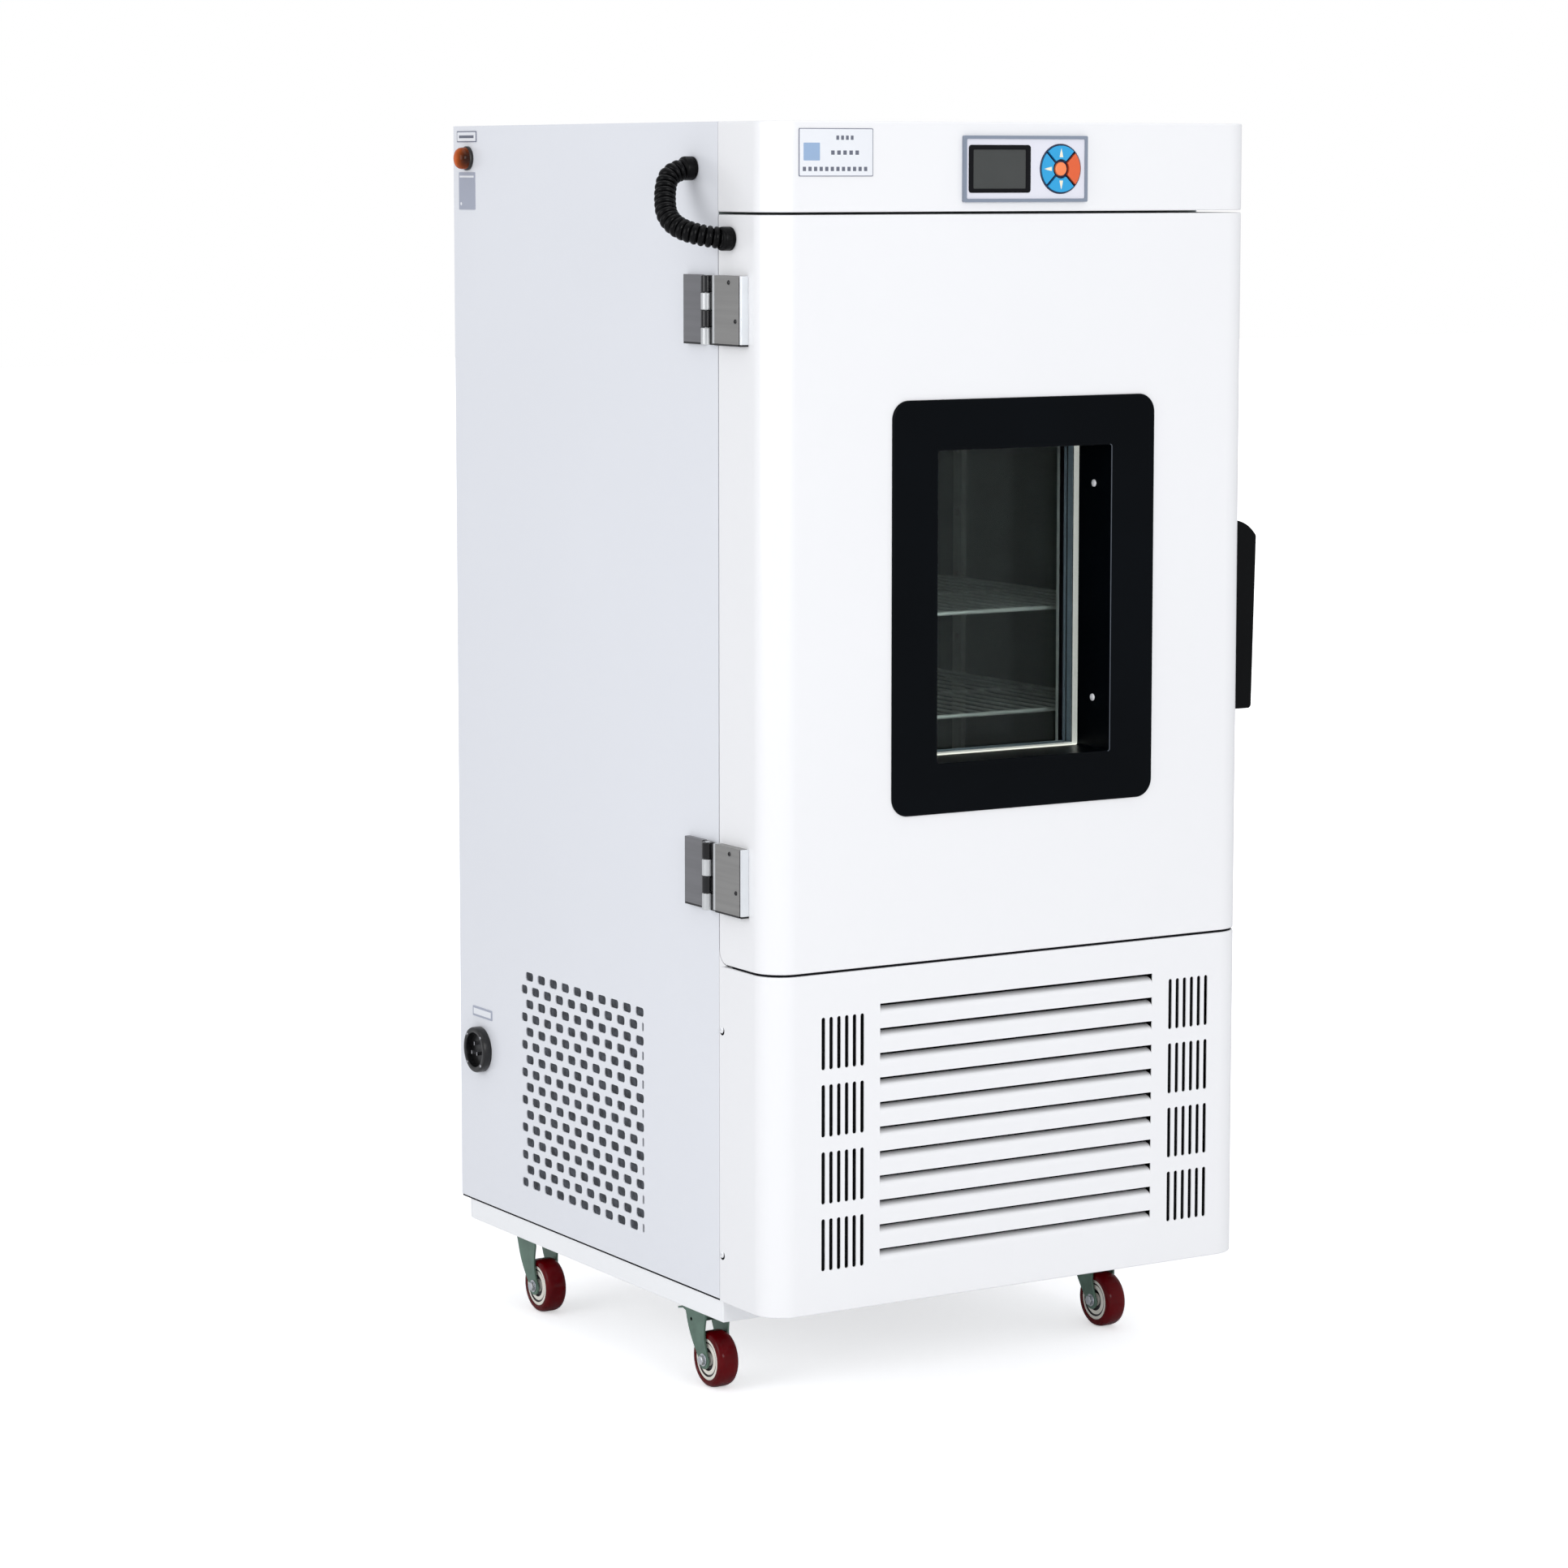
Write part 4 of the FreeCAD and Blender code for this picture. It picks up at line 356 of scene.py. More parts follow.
def mesh_piece(name, bm, body, materials, stands_for=(), sharp=36.0, bevel=0.0, weighted=False):
    """Make a drawn mesh a piece that rides on a body and may stand for CAD nodes."""
    bmesh.ops.recalc_face_normals(bm, faces=bm.faces)
    bm.transform(Matrix.Translation(CORNER) @ Matrix.Scale(MM, 4))
    mesh = bpy.data.meshes.new(name)
    bm.to_mesh(mesh)
    bm.free()
    mesh.polygons.foreach_set("use_smooth", [True] * len(mesh.polygons))
    mesh.set_sharp_from_angle(angle=math.radians(sharp))
    if not isinstance(materials, (list, tuple)):
        materials = [materials]
    for material in materials:
        mesh.materials.append(material)
    made = add_object(name, mesh)
    if bevel:
        edge = made.modifiers.new("soft_edges", "BEVEL")
        edge.width = bevel * MM
        edge.segments = 3
        edge.limit_method = "ANGLE"
        edge.angle_limit = math.radians(40)
        edge.harden_normals = True
    if weighted:
        made.modifiers.new("flat_faces", "WEIGHTED_NORMAL").keep_sharp = True
    if stands_for:
        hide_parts(*stands_for)
    if body:
        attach(made, body)
    return made


def on_front(u, v, w):
    """A front face: u to the right, v up, w into the cabinet."""
    return Vector((u, w, v))


def on_left(u, v, w):
    """The left side: u to the rear, v up, w into the cabinet."""
    return Vector((w, u, v))


def rectangle(u0, u1, v0, v1):
    return [(u0, v0), (u1, v0), (u1, v1), (u0, v1)]


def arc(centre_a, centre_b, radius, start, end, steps):
    """Points of an arc between two angles in degrees."""
    points = []
    for step in range(steps + 1):
        angle = math.radians(start + (end - start) * step / steps)
        points.append((centre_a + radius * math.cos(angle), centre_b + radius * math.sin(angle)))
    return points


def round_rectangle(u0, u1, v0, v1, radius, steps=6):
    """Closed outline of a rectangle with rounded corners."""
    points = []
    for cu, cv, start in ((u1 - radius, v1 - radius, 0), (u0 + radius, v1 - radius, 90),
                          (u0 + radius, v0 + radius, 180), (u1 - radius, v0 + radius, 270)):
        points += arc(cu, cv, radius, start, start + 90, steps)
    return points


def ring(bm, points):
    return [bm.verts.new(p) for p in points]


def bridge(bm, low, high, index=0, skip=()):
    """Quads between two rings of the same number of points."""
    for i in range(len(low)):
        if i not in skip:
            after = (i + 1) % len(low)
            bm.faces.new((low[i], low[after], high[after], high[i])).material_index = index


def cap(bm, verts, index=0):
    bm.faces.new(verts).material_index = index


def add_loft(bm, rings, index=0, ends=True):
    """Skin over rings of points, closed at both ends."""
    made = [ring(bm, points) for points in rings]
    for low, high in zip(made, made[1:]):
        bridge(bm, low, high, index=index)
    if ends:
        cap(bm, made[0], index)
        cap(bm, made[-1], index)
    return made


def add_prism(bm, outline, z0, z1, index=0):
    """Upright prism over a plan outline of (x, y) points."""
    add_loft(bm, [[Vector((x, y, z)) for x, y in outline] for z in (z0, z1)], index)


def add_across(bm, outline, x0, x1):
    """Sideways prism over a side view's outline of (y, z) points."""
    add_loft(bm, [[Vector((x, y, z)) for y, z in outline] for x in (x0, x1)])


def add_box(bm, low, high, index=0):
    add_prism(bm, rectangle(low[0], high[0], low[1], high[1]), low[2], high[2], index)


def circle(centre, axis, radius, steps):
    """Points round a circle across an axis."""
    axis = Vector(axis).normalized()
    side = axis.cross(Z_AXIS if abs(axis.z) < 0.9 else X_AXIS).normalized()
    up = axis.cross(side)
    points = []
    for i in range(steps):
        angle = 2 * math.pi * i / steps
        offset = side * math.cos(angle) + up * math.sin(angle)
        points.append(Vector(centre) + offset * radius)
    return points


def add_turned(bm, start, axis, profile, steps=48, index=0, ends=True):
    """Turned form: profile gives (distance along the axis, radius) pairs."""
    axis = Vector(axis)
    rings = [circle(Vector(start) + axis * along, axis, radius, steps)
             for along, radius in profile]
    return add_loft(bm, rings, index, ends)


def add_rod(bm, start, end, radius, steps=12, index=0):
    axis = (Vector(end) - Vector(start)).normalized()
    rings = [circle(start, axis, radius, steps), circle(end, axis, radius, steps)]
    add_loft(bm, rings, index)


def add_path_tube(bm, points, radii, steps):
    """Tube along a path, each of its points with a radius of its own."""
    rings = []
    side = None
    for i, point in enumerate(points):
        before = points[max(i - 1, 0)]
        after = points[min(i + 1, len(points) - 1)]
        along = (after - before).normalized()
        if side is None:
            side = along.cross(Z_AXIS if abs(along.z) < 0.9 else X_AXIS)
        side = (side - along * side.dot(along)).normalized()
        up = along.cross(side)
        turn = [2 * math.pi * k / steps for k in range(steps)]
        rings.append([point + (side * math.cos(a) + up * math.sin(a)) * radii[i] for a in turn])
    add_loft(bm, rings)


def add_plate(bm, outline, holes, place, w0, w1, index=0, rim=True):
    """Flat plate between two depths, with holes right through it."""
    loops = [outline] + holes
    for w in (w0, w1):
        edges = []
        for loop in loops:
            verts = [bm.verts.new(place(u, v, w)) for u, v in loop]
            edges += [bm.edges.new(pair) for pair in zip(verts, verts[1:] + verts[:1])]
        filled = bmesh.ops.triangle_fill(bm, use_beauty=True, use_dissolve=False, edges=edges)
        for face in filled["geom"]:
            if isinstance(face, bmesh.types.BMFace):
                face.material_index = index
    for loop in loops if rim else holes:
        near = ring(bm, [place(u, v, w0) for u, v in loop])
        far = ring(bm, [place(u, v, w1) for u, v in loop])
        bridge(bm, near, far, index=index)


def add_block(bm, outline, place, w0, w1, index=0):
    """Flat block with the outline's shape, between two depths."""
    add_loft(bm, [[place(u, v, w) for u, v in outline] for w in (w1, w0)], index)


def paint_rings(bm, before, steps, rings, index):
    """Give some rings of faces of a lofted form, counted from its first, another material."""
    bm.faces.ensure_lookup_table()
    for number in rings:
        for face in range(before + number * steps, before + (number + 1) * steps):
            bm.faces[face].material_index = index


def weld(bm, distance=0.002):
    bmesh.ops.remove_doubles(bm, verts=bm.verts, dist=distance)


# Front block: fascia, door and lower panel share one plan

CORNER_R = 40.0
DOOR_REAR_R = 18.0
PANEL_GAP = 3.2
PANE_LAP = 12.0
TUNNEL_WALL = 3.0
LOWER_TOP = limits("door_shell")[0].z - PANEL_GAP
FOLD_R = 2.2
CORNER_STEPS = 20
LIP = 1.2


def plan(inset, rear):
    """Closed plan of the front block, with a small return at its rear edges."""
    radius = CORNER_R - inset
    left = inset + LIP
    right = WIDTH - inset - LIP
    return [(left, rear - LIP), (left, rear), (inset, rear),
            *arc(CORNER_R, CORNER_R, radius, 180, 270, CORNER_STEPS),
            *arc(WIDTH - CORNER_R, CORNER_R, radius, 270, 360, CORNER_STEPS),
            (WIDTH - inset, rear), (right, rear), (right, rear - LIP)]


FRONT_EDGE = 3 + CORNER_STEPS


def fold_levels(z0, z1):
    """Heights and insets that round the folds at the foot and the top."""
    foot = [(z0 + FOLD_R * (1 - math.cos(math.radians(90 * s / 4))),
             FOLD_R * (1 - math.sin(math.radians(90 * s / 4)))) for s in range(5)]
    top = [(z1 - (z - z0), inset) for z, inset in reversed(foot)]
    return foot, top


def add_front_block(bm, z0, z1, rear, rear_radius=0.0, holes=None, open_rear=False):
    """Sheet casing round the front, with folded edges and an optional rounded rear foot."""
    foot, top = fold_levels(z0, z1)
    levels = list(foot)
    if rear_radius:
        for step in range(1, 9):
            angle = math.radians(90 * step / 8)
            levels.append((z0 + rear_radius * (1 - math.cos(angle)), 0.0))
        levels = sorted(set(levels))
    rings = []
    for z, inset in levels + top:
        up = min(z - z0, rear_radius)
        back = rear
        if rear_radius:
            back = rear - rear_radius + math.sqrt(rear_radius ** 2 - (rear_radius - up) ** 2)
            back = max(back, CORNER_R + 1)
        rings.append([Vector((x, y, z)) for x, y in plan(inset, back)])
    made = [ring(bm, points) for points in rings]
    middle = len(levels) - 1
    left_open = set()
    if holes is not None:
        left_open.add(FRONT_EDGE)
    if open_rear:
        left_open.add(len(made[0]) - 1)
    for level, (low, high) in enumerate(zip(made, made[1:])):
        bridge(bm, low, high, skip=left_open if level == middle else ())
    cap(bm, made[0])
    cap(bm, made[-1])
    if holes is None:
        return
    u0, u1 = made[middle][FRONT_EDGE].co.x, made[middle][FRONT_EDGE + 1].co.x
    v0, v1 = made[middle][0].co.z, made[middle + 1][0].co.z
    add_plate(bm, rectangle(u0, u1, v0, v1), holes, on_front, 0.0, SHEET, rim=False)


def make_fascia():
    low, high = limits("front_fascia")
    bm = bmesh.new()
    add_front_block(bm, low.z, high.z, high.y)
    mesh_piece("fascia_skin", bm, "cabinet", FRONT_WHITE, ["front_fascia"], weighted=True)


def make_door_skin():
    low, high = limits("door_shell")
    glass_low, glass_high = limits("glass_panes")
    edge = PANE_LAP - TUNNEL_WALL
    hole = rectangle(glass_low.x + edge, glass_high.x - edge,
                     glass_low.z + edge, glass_high.z - edge)
    bm = bmesh.new()
    add_front_block(bm, low.z, high.z, high.y, DOOR_REAR_R, [hole], open_rear=True)
    weld(bm)
    mesh_piece("door_skin", bm, "door", FRONT_WHITE, ["door_shell"], weighted=True)


# Lower panel

LOUVRES = 11
LOUVRE_X = (164.0, 589.0)
LOUVRE_TOP = 536.6
LOUVRE_PITCH = 31.76
LOUVRE_HEIGHT = 20.0
LOUVRE_THROAT = 5.2
LOUVRE_INSET = 13.0
LOUVRE_BULGE = 2.2
LOUVRE_STEPS = 12
SLOT_GROUPS = (76.5, 615.6)
SLOT_PITCH = 11.6
SLOT_SIZE = (5.5, 67.5)
SLOT_TOP = 526.7
SLOT_ROW_PITCH = 86.4
SLOT_ROWS = 4
SLOTS_PER_GROUP = 6
SHADE_STRIP_INSET = 2.6
SHADE_STRIP_WIDTH = 3.0
SHADE_STRIP_HEIGHT = 2.4
SHADE_STRIP_REAR = 96.0
SHADE_SHEET_Y = 17.0
SHADE_SHEET_EDGE = 48.0
SHADE_SHEET_LAP = 12.0
FOOT_Z = limits("side_panel_left")[0].z - 1.0
EAR_RADIUS = 21.2
EAR_GAP = 2.0


def louvre_section(top_z):
    """Cross-section of a blade: front curve from its foot in the sheet to its tip, and back."""
    foot = top_z - LOUVRE_HEIGHT
    tip = top_z - LOUVRE_THROAT
    rise = tip - foot
    front = []
    back = []
    for step in range(LOUVRE_STEPS + 1):
        share = step / LOUVRE_STEPS
        bulge = math.sin(math.pi * share) * LOUVRE_BULGE
        y = LOUVRE_INSET * share ** 3
        z = foot + rise * share
        front.append((y - bulge * 0.15, z + bulge))
        back.append((y + SHEET * 0.8, z + bulge - SHEET * 0.9))
    return front + list(reversed(back))


def add_shade_strip(bm, z):
    """Thin dark strip of painted shade that lies in the joint under the door, following its plan.
    """
    outer = plan(SHADE_STRIP_INSET, SHADE_STRIP_REAR)[2:-2]
    inner = plan(SHADE_STRIP_INSET + SHADE_STRIP_WIDTH, SHADE_STRIP_REAR)[2:-2]
    add_prism(bm, outer + list(reversed(inner)), z - SHEET, z + SHADE_STRIP_HEIGHT, 1)


def make_lower_panel():
    rear = limits("lower_front_panel")[1].y
    holes = []
    for group_x in SLOT_GROUPS:
        for row in range(SLOT_ROWS):
            top = SLOT_TOP - row * SLOT_ROW_PITCH
            for column in range(SLOTS_PER_GROUP):
                u0 = group_x + column * SLOT_PITCH
                holes.append(round_rectangle(u0, u0 + SLOT_SIZE[0], top - SLOT_SIZE[1], top,
                                             SLOT_SIZE[0] / 2 - 0.01, 4))
    for count in range(LOUVRES):
        top = LOUVRE_TOP - count * LOUVRE_PITCH
        holes.append(rectangle(*LOUVRE_X, top - LOUVRE_HEIGHT, top))
    bm = bmesh.new()
    add_front_block(bm, FOOT_Z, LOWER_TOP, rear, 0.0, holes, open_rear=True)
    weld(bm)
    for count in range(LOUVRES):
        section = louvre_section(LOUVRE_TOP - count * LOUVRE_PITCH)
        add_across(bm, section, *LOUVRE_X)
    for x in (0.0, WIDTH - SHEET):
        add_ear(bm, x, rear)
    add_shade_strip(bm, LOWER_TOP)
    # Dark sheet behind the louvres and slots: painted shade standing for the dim inside.
    add_box(bm, (SHADE_SHEET_EDGE, SHADE_SHEET_Y, holes[-1][0][1] - SHADE_SHEET_LAP),
            (WIDTH - SHADE_SHEET_EDGE, SHADE_SHEET_Y + 1, LOUVRE_TOP + SHADE_SHEET_LAP), 1)
    mesh_piece("lower_panel_skin", bm, "cabinet", [FRONT_WHITE, PAINTED_SHADE_DARK],
               ["lower_front_panel"], weighted=True)


def add_ear(bm, x, rear):
    """Upstand beside the door's rounded rear corner."""
    door_low, door_high = limits("door_shell")
    centre_y = door_high.y - DOOR_REAR_R
    centre_z = door_low.z + DOOR_REAR_R
    outline = [(rear, LOWER_TOP - SHEET), (rear, LOWER_TOP + DOOR_REAR_R)]
    for y, z in arc(centre_y, centre_z, EAR_RADIUS - EAR_GAP, 0, -90, 8):
        outline.append((min(y, rear - 0.2), max(z, LOWER_TOP - SHEET)))
    add_across(bm, outline, x, x + SHEET)


# Left side with its grille

GRILLE_Y = (320.0, 660.0)
GRILLE_TOP = 496.0
GRILLE_ROWS = 16
GRILLE_ROW_PITCH = 19.25
HOLE_PITCH = 34.0
HOLE_SIZE = (21.5, 12.0)
HOLE_R = 4.2
SEAM = 2.6
SEAM_DEPTH = 0.8
BASE_FRONT = 118.0
BASE_REAR_R = 30.0


def grille_holes():
    holes = []
    for row in range(GRILLE_ROWS):
        top = GRILLE_TOP - row * GRILLE_ROW_PITCH
        start = GRILLE_Y[0] - (row % 2) * HOLE_PITCH / 2
        count = int((GRILLE_Y[1] - start) / HOLE_PITCH) + 1
        for column in range(count):
            low = max(start + column * HOLE_PITCH, GRILLE_Y[0])
            high = min(start + column * HOLE_PITCH + HOLE_SIZE[0], GRILLE_Y[1])
            if high - low > SHEET:
                radius = min(HOLE_R, (high - low) / 2 - 0.1)
                holes.append(round_rectangle(low, high, top - HOLE_SIZE[1], top, radius, 4))
    return holes


def make_left_side():
    low, high = limits("side_panel_left")
    lamp = centre_of("indicator_lamp")
    inlet = centre_of("power_inlet")
    hose = centre_of("hose_cuff_cabinet")
    holes = grille_holes()
    for middle, radius in ((lamp, 10.0), (inlet, 27.0), (hose, 12.0)):
        holes.append([(p.y, p.z) for p in circle(middle, X_AXIS, radius, 32)])
    bm = bmesh.new()
    foot = low.z + SEAM
    add_plate(bm, rectangle(low.y, high.y, foot, high.z), holes, on_left, 0.0, SHEET)
    weld(bm)
    add_box(bm, (SHEET, high.y - SHEET, low.z), (high.x, high.y, high.z))
    # Dark strip recessed along the foot of the side: painted shade in the seam.
    add_box(bm, (SEAM_DEPTH, low.y + SHEET, low.z), (SHEET, high.y - SHEET, foot), 1)
    mesh_piece("left_side_skin", bm, "cabinet", [SIDE_WHITE_PAINTED_SHADE, PAINTED_SHADE_DARK], ["side_panel_left"])


def make_base():
    """Tray that the casing stands on: set back at the front, rounded at the rear."""
    low, high = limits("base_frame")
    outline = [(low.x, BASE_FRONT), (high.x, BASE_FRONT)]
    outline += arc(high.x - BASE_REAR_R, high.y - BASE_REAR_R, BASE_REAR_R, 0, 90, 10)
    outline += arc(low.x + BASE_REAR_R, high.y - BASE_REAR_R, BASE_REAR_R, 90, 180, 10)
    bm = bmesh.new()
    add_prism(bm, outline, low.z, high.z)
    mesh_piece("base_tray", bm, "cabinet", BASE_WHITE_PAINTED_LIGHT, ["base_frame"], bevel=1.2, weighted=True)


# Window surround

OPENING_R = 2.5
FRAME_R = 24.0
HIGHLIGHT_RINGS = (8, 9)
RIM_SHARE = 0.4
RIM_ROUND = 1.9
MOUTH_ROUND = 1.6
SEAT_LAP = 15.0
SEAT_T = 3.0
ROUND_STEPS = 4


def make_window_surround():
    """Moulded surround: wide flange with a rounded rim, deep reveal and glass seat."""
    low, high = limits("window_frame")
    glass_low, glass_high = limits("glass_panes")
    x0, x1 = glass_low.x + PANE_LAP, glass_high.x - PANE_LAP
    z0, z1 = glass_low.z + PANE_LAP, glass_high.z - PANE_LAP
    rim_x = x0 - low.x
    rim_z = z0 - low.z
    proud = -low.y
    seat = high.y
    sections = []

    def loop(grow_x, grow_z, radius, y):
        outline = round_rectangle(x0 - grow_x, x1 + grow_x, z0 - grow_z, z1 + grow_z, radius, 12)
        sections.append([on_front(u, v, y) for u, v in outline])

    def even_loop(grow, y):
        loop(grow, grow, OPENING_R + grow, y)

    turns = [math.radians(90 * step / ROUND_STEPS) for step in range(1, ROUND_STEPS + 1)]
    even_loop(TUNNEL_WALL, 0.0)
    loop(rim_x, rim_z, FRAME_R, 0.0)
    loop(rim_x, rim_z, FRAME_R, -RIM_SHARE * proud)
    for angle in turns:
        inward = RIM_ROUND * (1 - math.cos(angle))
        loop(rim_x - inward, rim_z - inward, FRAME_R - inward,
             -RIM_SHARE * proud - (1 - RIM_SHARE) * proud * math.sin(angle))
    even_loop(2 * MOUTH_ROUND, -proud)
    for angle in turns:
        even_loop(MOUTH_ROUND * (1 - math.sin(angle)),
                  -proud + MOUTH_ROUND * (1 - math.cos(angle)))
    even_loop(0, seat)
    even_loop(SEAT_LAP, seat)
    even_loop(SEAT_LAP, seat - SEAT_T)
    even_loop(TUNNEL_WALL, seat - SEAT_T)
    bm = bmesh.new()
    made = add_loft(bm, sections, ends=False)
    bridge(bm, made[-1], made[0])
    # Lighter grey on the rounded inner edge, on the right side of the opening only: a painted
    # highlight.
    paint_rings(bm, 0, len(made[0]), HIGHLIGHT_RINGS, 1)
    for face in bm.faces:
        if face.calc_center_median().x < x1 - OPENING_R:
            face.material_index = 0
    mesh_piece("window_surround", bm, "door", [WINDOW_BLACK, WINDOW_EDGE_HIGHLIGHT], ["window_frame"],
               sharp=50, weighted=True)


make_fascia()
make_door_skin()
make_lower_panel()
make_left_side()
make_window_surround()
make_base()


# Small forms shared by the fittings


def add_screw(bm, place, out, radius, index=0):
    """Domed screw head with a recessed drive."""
    profile = ((0, radius), (0.25 * radius, 0.94 * radius), (0.44 * radius, 0.66 * radius),
               (0.48 * radius, 0.36 * radius), (0.14 * radius, 0.32 * radius))
    add_turned(bm, place, out, profile, 20, index)


# Hose between the cabinet and the door

HOSE_ROUTE = ((0, 186.5, 1590), (-32, 188, 1588), (-48, 176, 1560), (-60, 147, 1522),
              (-36, 102, 1505), (0, 93.5, 1503))
HOSE_CREST = 13.9
RIB_PITCH = 8.6
RIB_DEPTH = 3.6
RIB_STEPS = 8
LINE_STEPS = 48


def route_line(name, route):
    """Points along the smooth line that a route's points control."""
    curve = bpy.data.curves.new(name, "CURVE")
    curve.dimensions = "3D"
    curve.resolution_u = LINE_STEPS
    spline = curve.splines.new("NURBS")
    spline.points.add(len(route) - 1)
    for point, place in zip(spline.points, route):
        point.co = (*place, 1.0)
    spline.order_u = 3
    spline.use_endpoint_u = True
    line = bpy.data.objects.new(name, curve)
    mesh = bpy.data.meshes.new_from_object(line)
    points = [vertex.co.copy() for vertex in mesh.vertices]
    bpy.data.meshes.remove(mesh)
    bpy.data.objects.remove(line)
    bpy.data.curves.remove(curve)
    return points


def evenly(points, step):
    """Points a fixed step apart along a line of points."""
    places = [points[0]]
    left = step
    for start, end in zip(points, points[1:]):
        span = (end - start).length
        done = 0.0
        while span - done >= left:
            done += left
            places.append(start.lerp(end, done / span))
            left = step
        left -= span - done
    return places


def make_hose():
    line = route_line("hose_line", HOSE_ROUTE)
    places = evenly(line, RIB_PITCH / RIB_STEPS)
    radii = []
    for i in range(len(places)):
        swell = math.sqrt(abs(math.sin(math.pi * i / RIB_STEPS)))
        radii.append(HOSE_CREST - RIB_DEPTH * (1 - swell))
    bm = bmesh.new()
    add_path_tube(bm, places, radii, steps=28)
    hose = mesh_piece("ribbed_hose", bm, None, HOSE_BLACK, ["door_hose"], sharp=70)
    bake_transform(hose)


CUFF_PROFILE = ((0, 13.6), (0.7, 14.8), (2.6, 15.1), (3.3, 14.3), (4.1, 15.1), (12.0, 15.1),
                (14.2, 14.6), (15.6, 13.4), (16.0, 12.2), (15.0, 11.4))


def make_cuff(name, cad_name, body):
    """Moulded collar with a groove and a rounded mouth."""
    middle = centre_of(cad_name)
    bm = bmesh.new()
    add_turned(bm, (limits(cad_name)[1].x, middle.y, middle.z), -X_AXIS, CUFF_PROFILE, 44)
    mesh_piece(name, bm, body, CUFF_BLACK, [cad_name], sharp=32)


# Hinges

PIN_X = -9.0
PIN_Y = 137.0
KNUCKLE_R = 7.5
KNUCKLES = 4
KNUCKLE_GAP = 0.4
HINGE_LENGTH = 87.4
LEAF_SHEET = 2.5
FIXED_LEAF = (154.0, 199.0, 8.0)
DOOR_LEAF = (50.0, 119.5, 11.5)
LEAF_CAP = 2.5
LEAF_GROOVE = 2.5
LEAF_NOSE = 2.0
LEAF_FOLD_HIGHLIGHT = 5.0
LEAF_FOOT_SHADOW = 2.4
LEAF_SCREWS = ((79.0, 79.0), (63.0, 31.0))


def knuckle_span(z0, number):
    pitch = HINGE_LENGTH / KNUCKLES
    return z0 + number * pitch + KNUCKLE_GAP / 2, z0 + (number + 1) * pitch - KNUCKLE_GAP / 2


def add_knuckles(bm, z0, numbers, web, indices):
    """Rolled knuckles with their webs back to the leaf."""
    for number in numbers:
        low, high = knuckle_span(z0, number)
        profile = ((0, KNUCKLE_R - 0.8), (0.8, KNUCKLE_R), (high - low - 0.8, KNUCKLE_R),
                   (high - low, KNUCKLE_R - 0.8))
        add_turned(bm, (PIN_X, PIN_Y, low), Z_AXIS, profile, 36, indices[0])
        add_box(bm, (web[0], web[2], low), (web[1], web[3], high), indices[1])


def make_hinges():
    tops = (limits("hinge_pins")[0].z, limits("hinge_pins")[1].z - HINGE_LENGTH)
    fixed = bmesh.new()
    moving = bmesh.new()
    for z0 in tops:
        z1 = z0 + HINGE_LENGTH
        y0, y1, height = FIXED_LEAF
        outline = [(0, y0), (-height, y0)] + arc(LEAF_SHEET - height, y1 - LEAF_SHEET,
                                                 LEAF_SHEET, 180, 90, 5) + [(0, y1)]
        add_prism(fixed, outline, z0 + LEAF_FOOT_SHADOW, z1)
        # Near-black strip at the foot of the fixed leaf: painted shadow under it.
        add_prism(fixed, outline, z0, z0 + LEAF_FOOT_SHADOW, 1)
        web = (LEAF_SHEET - height, 2 * LEAF_SHEET - height, PIN_Y, y0)
        # Fixed knuckles and their webs near-black: painted dark reflection and shade, set against
        # the door's lighter knuckles.
        add_knuckles(fixed, z0, (1, 3), web, (1, 1))
        y0, y1, height = DOOR_LEAF
        cap_end = y0 + LEAF_CAP
        fold = y1 - LEAF_FOLD_HIGHLIGHT
        # Foot strip of the door leaf near-black: painted shadow under it.
        for low, high, index in ((z0, z0 + LEAF_FOOT_SHADOW, 2), (z0 + LEAF_FOOT_SHADOW, z1, 0)):
            add_box(moving, (-height, cap_end + LEAF_GROOVE, low), (0, fold, high), index)
        # Light band on the leaf's rear fold: painted highlight.
        add_box(moving, (-height, fold, z0 + LEAF_FOOT_SHADOW), (0, y1, z1), 1)
        # Groove behind the cap painted near-black: painted shade in the groove.
        add_box(moving, (2 - height, cap_end, z0 + 1), (0, cap_end + LEAF_GROOVE, z1 - 1), 2)
        nose = [(0, y0)] + arc(LEAF_NOSE - height, y0 + LEAF_NOSE, LEAF_NOSE, 270, 180, 8)
        nose += [(-height, cap_end), (0, cap_end)]
        add_prism(moving, nose, z0 + LEAF_FOOT_SHADOW, z1, 3)
        add_prism(moving, nose, z0, z0 + LEAF_FOOT_SHADOW, 2)
        web = (LEAF_SHEET - height, 2 * LEAF_SHEET - height, y1, PIN_Y)
        # Door knuckles light, their webs near-black: painted highlight on the knuckles and painted
        # shadow in the gap beside them.
        add_knuckles(moving, z0, (0, 2), web, (1, 2))
        # Leaf screws near-black: painted shade in their holes.
        for y, up in LEAF_SCREWS:
            add_screw(moving, (-height, y, z0 + up), -X_AXIS, 3.0, 2)
    mesh_piece("hinge_leaf_fixed", fixed, "cabinet", [HINGE_DARK, HINGE_SHADE],
               ["hinge_fixed_leaves"], bevel=0.5, weighted=True)
    mesh_piece("hinge_leaf_door", moving, "door",
               [HINGE_MID, HINGE_HIGHLIGHT, HINGE_SHADE, HINGE_BRIGHT],
               ["hinge_door_leaves"], bevel=0.5, weighted=True)


# Lamp, power inlet, plates and screws

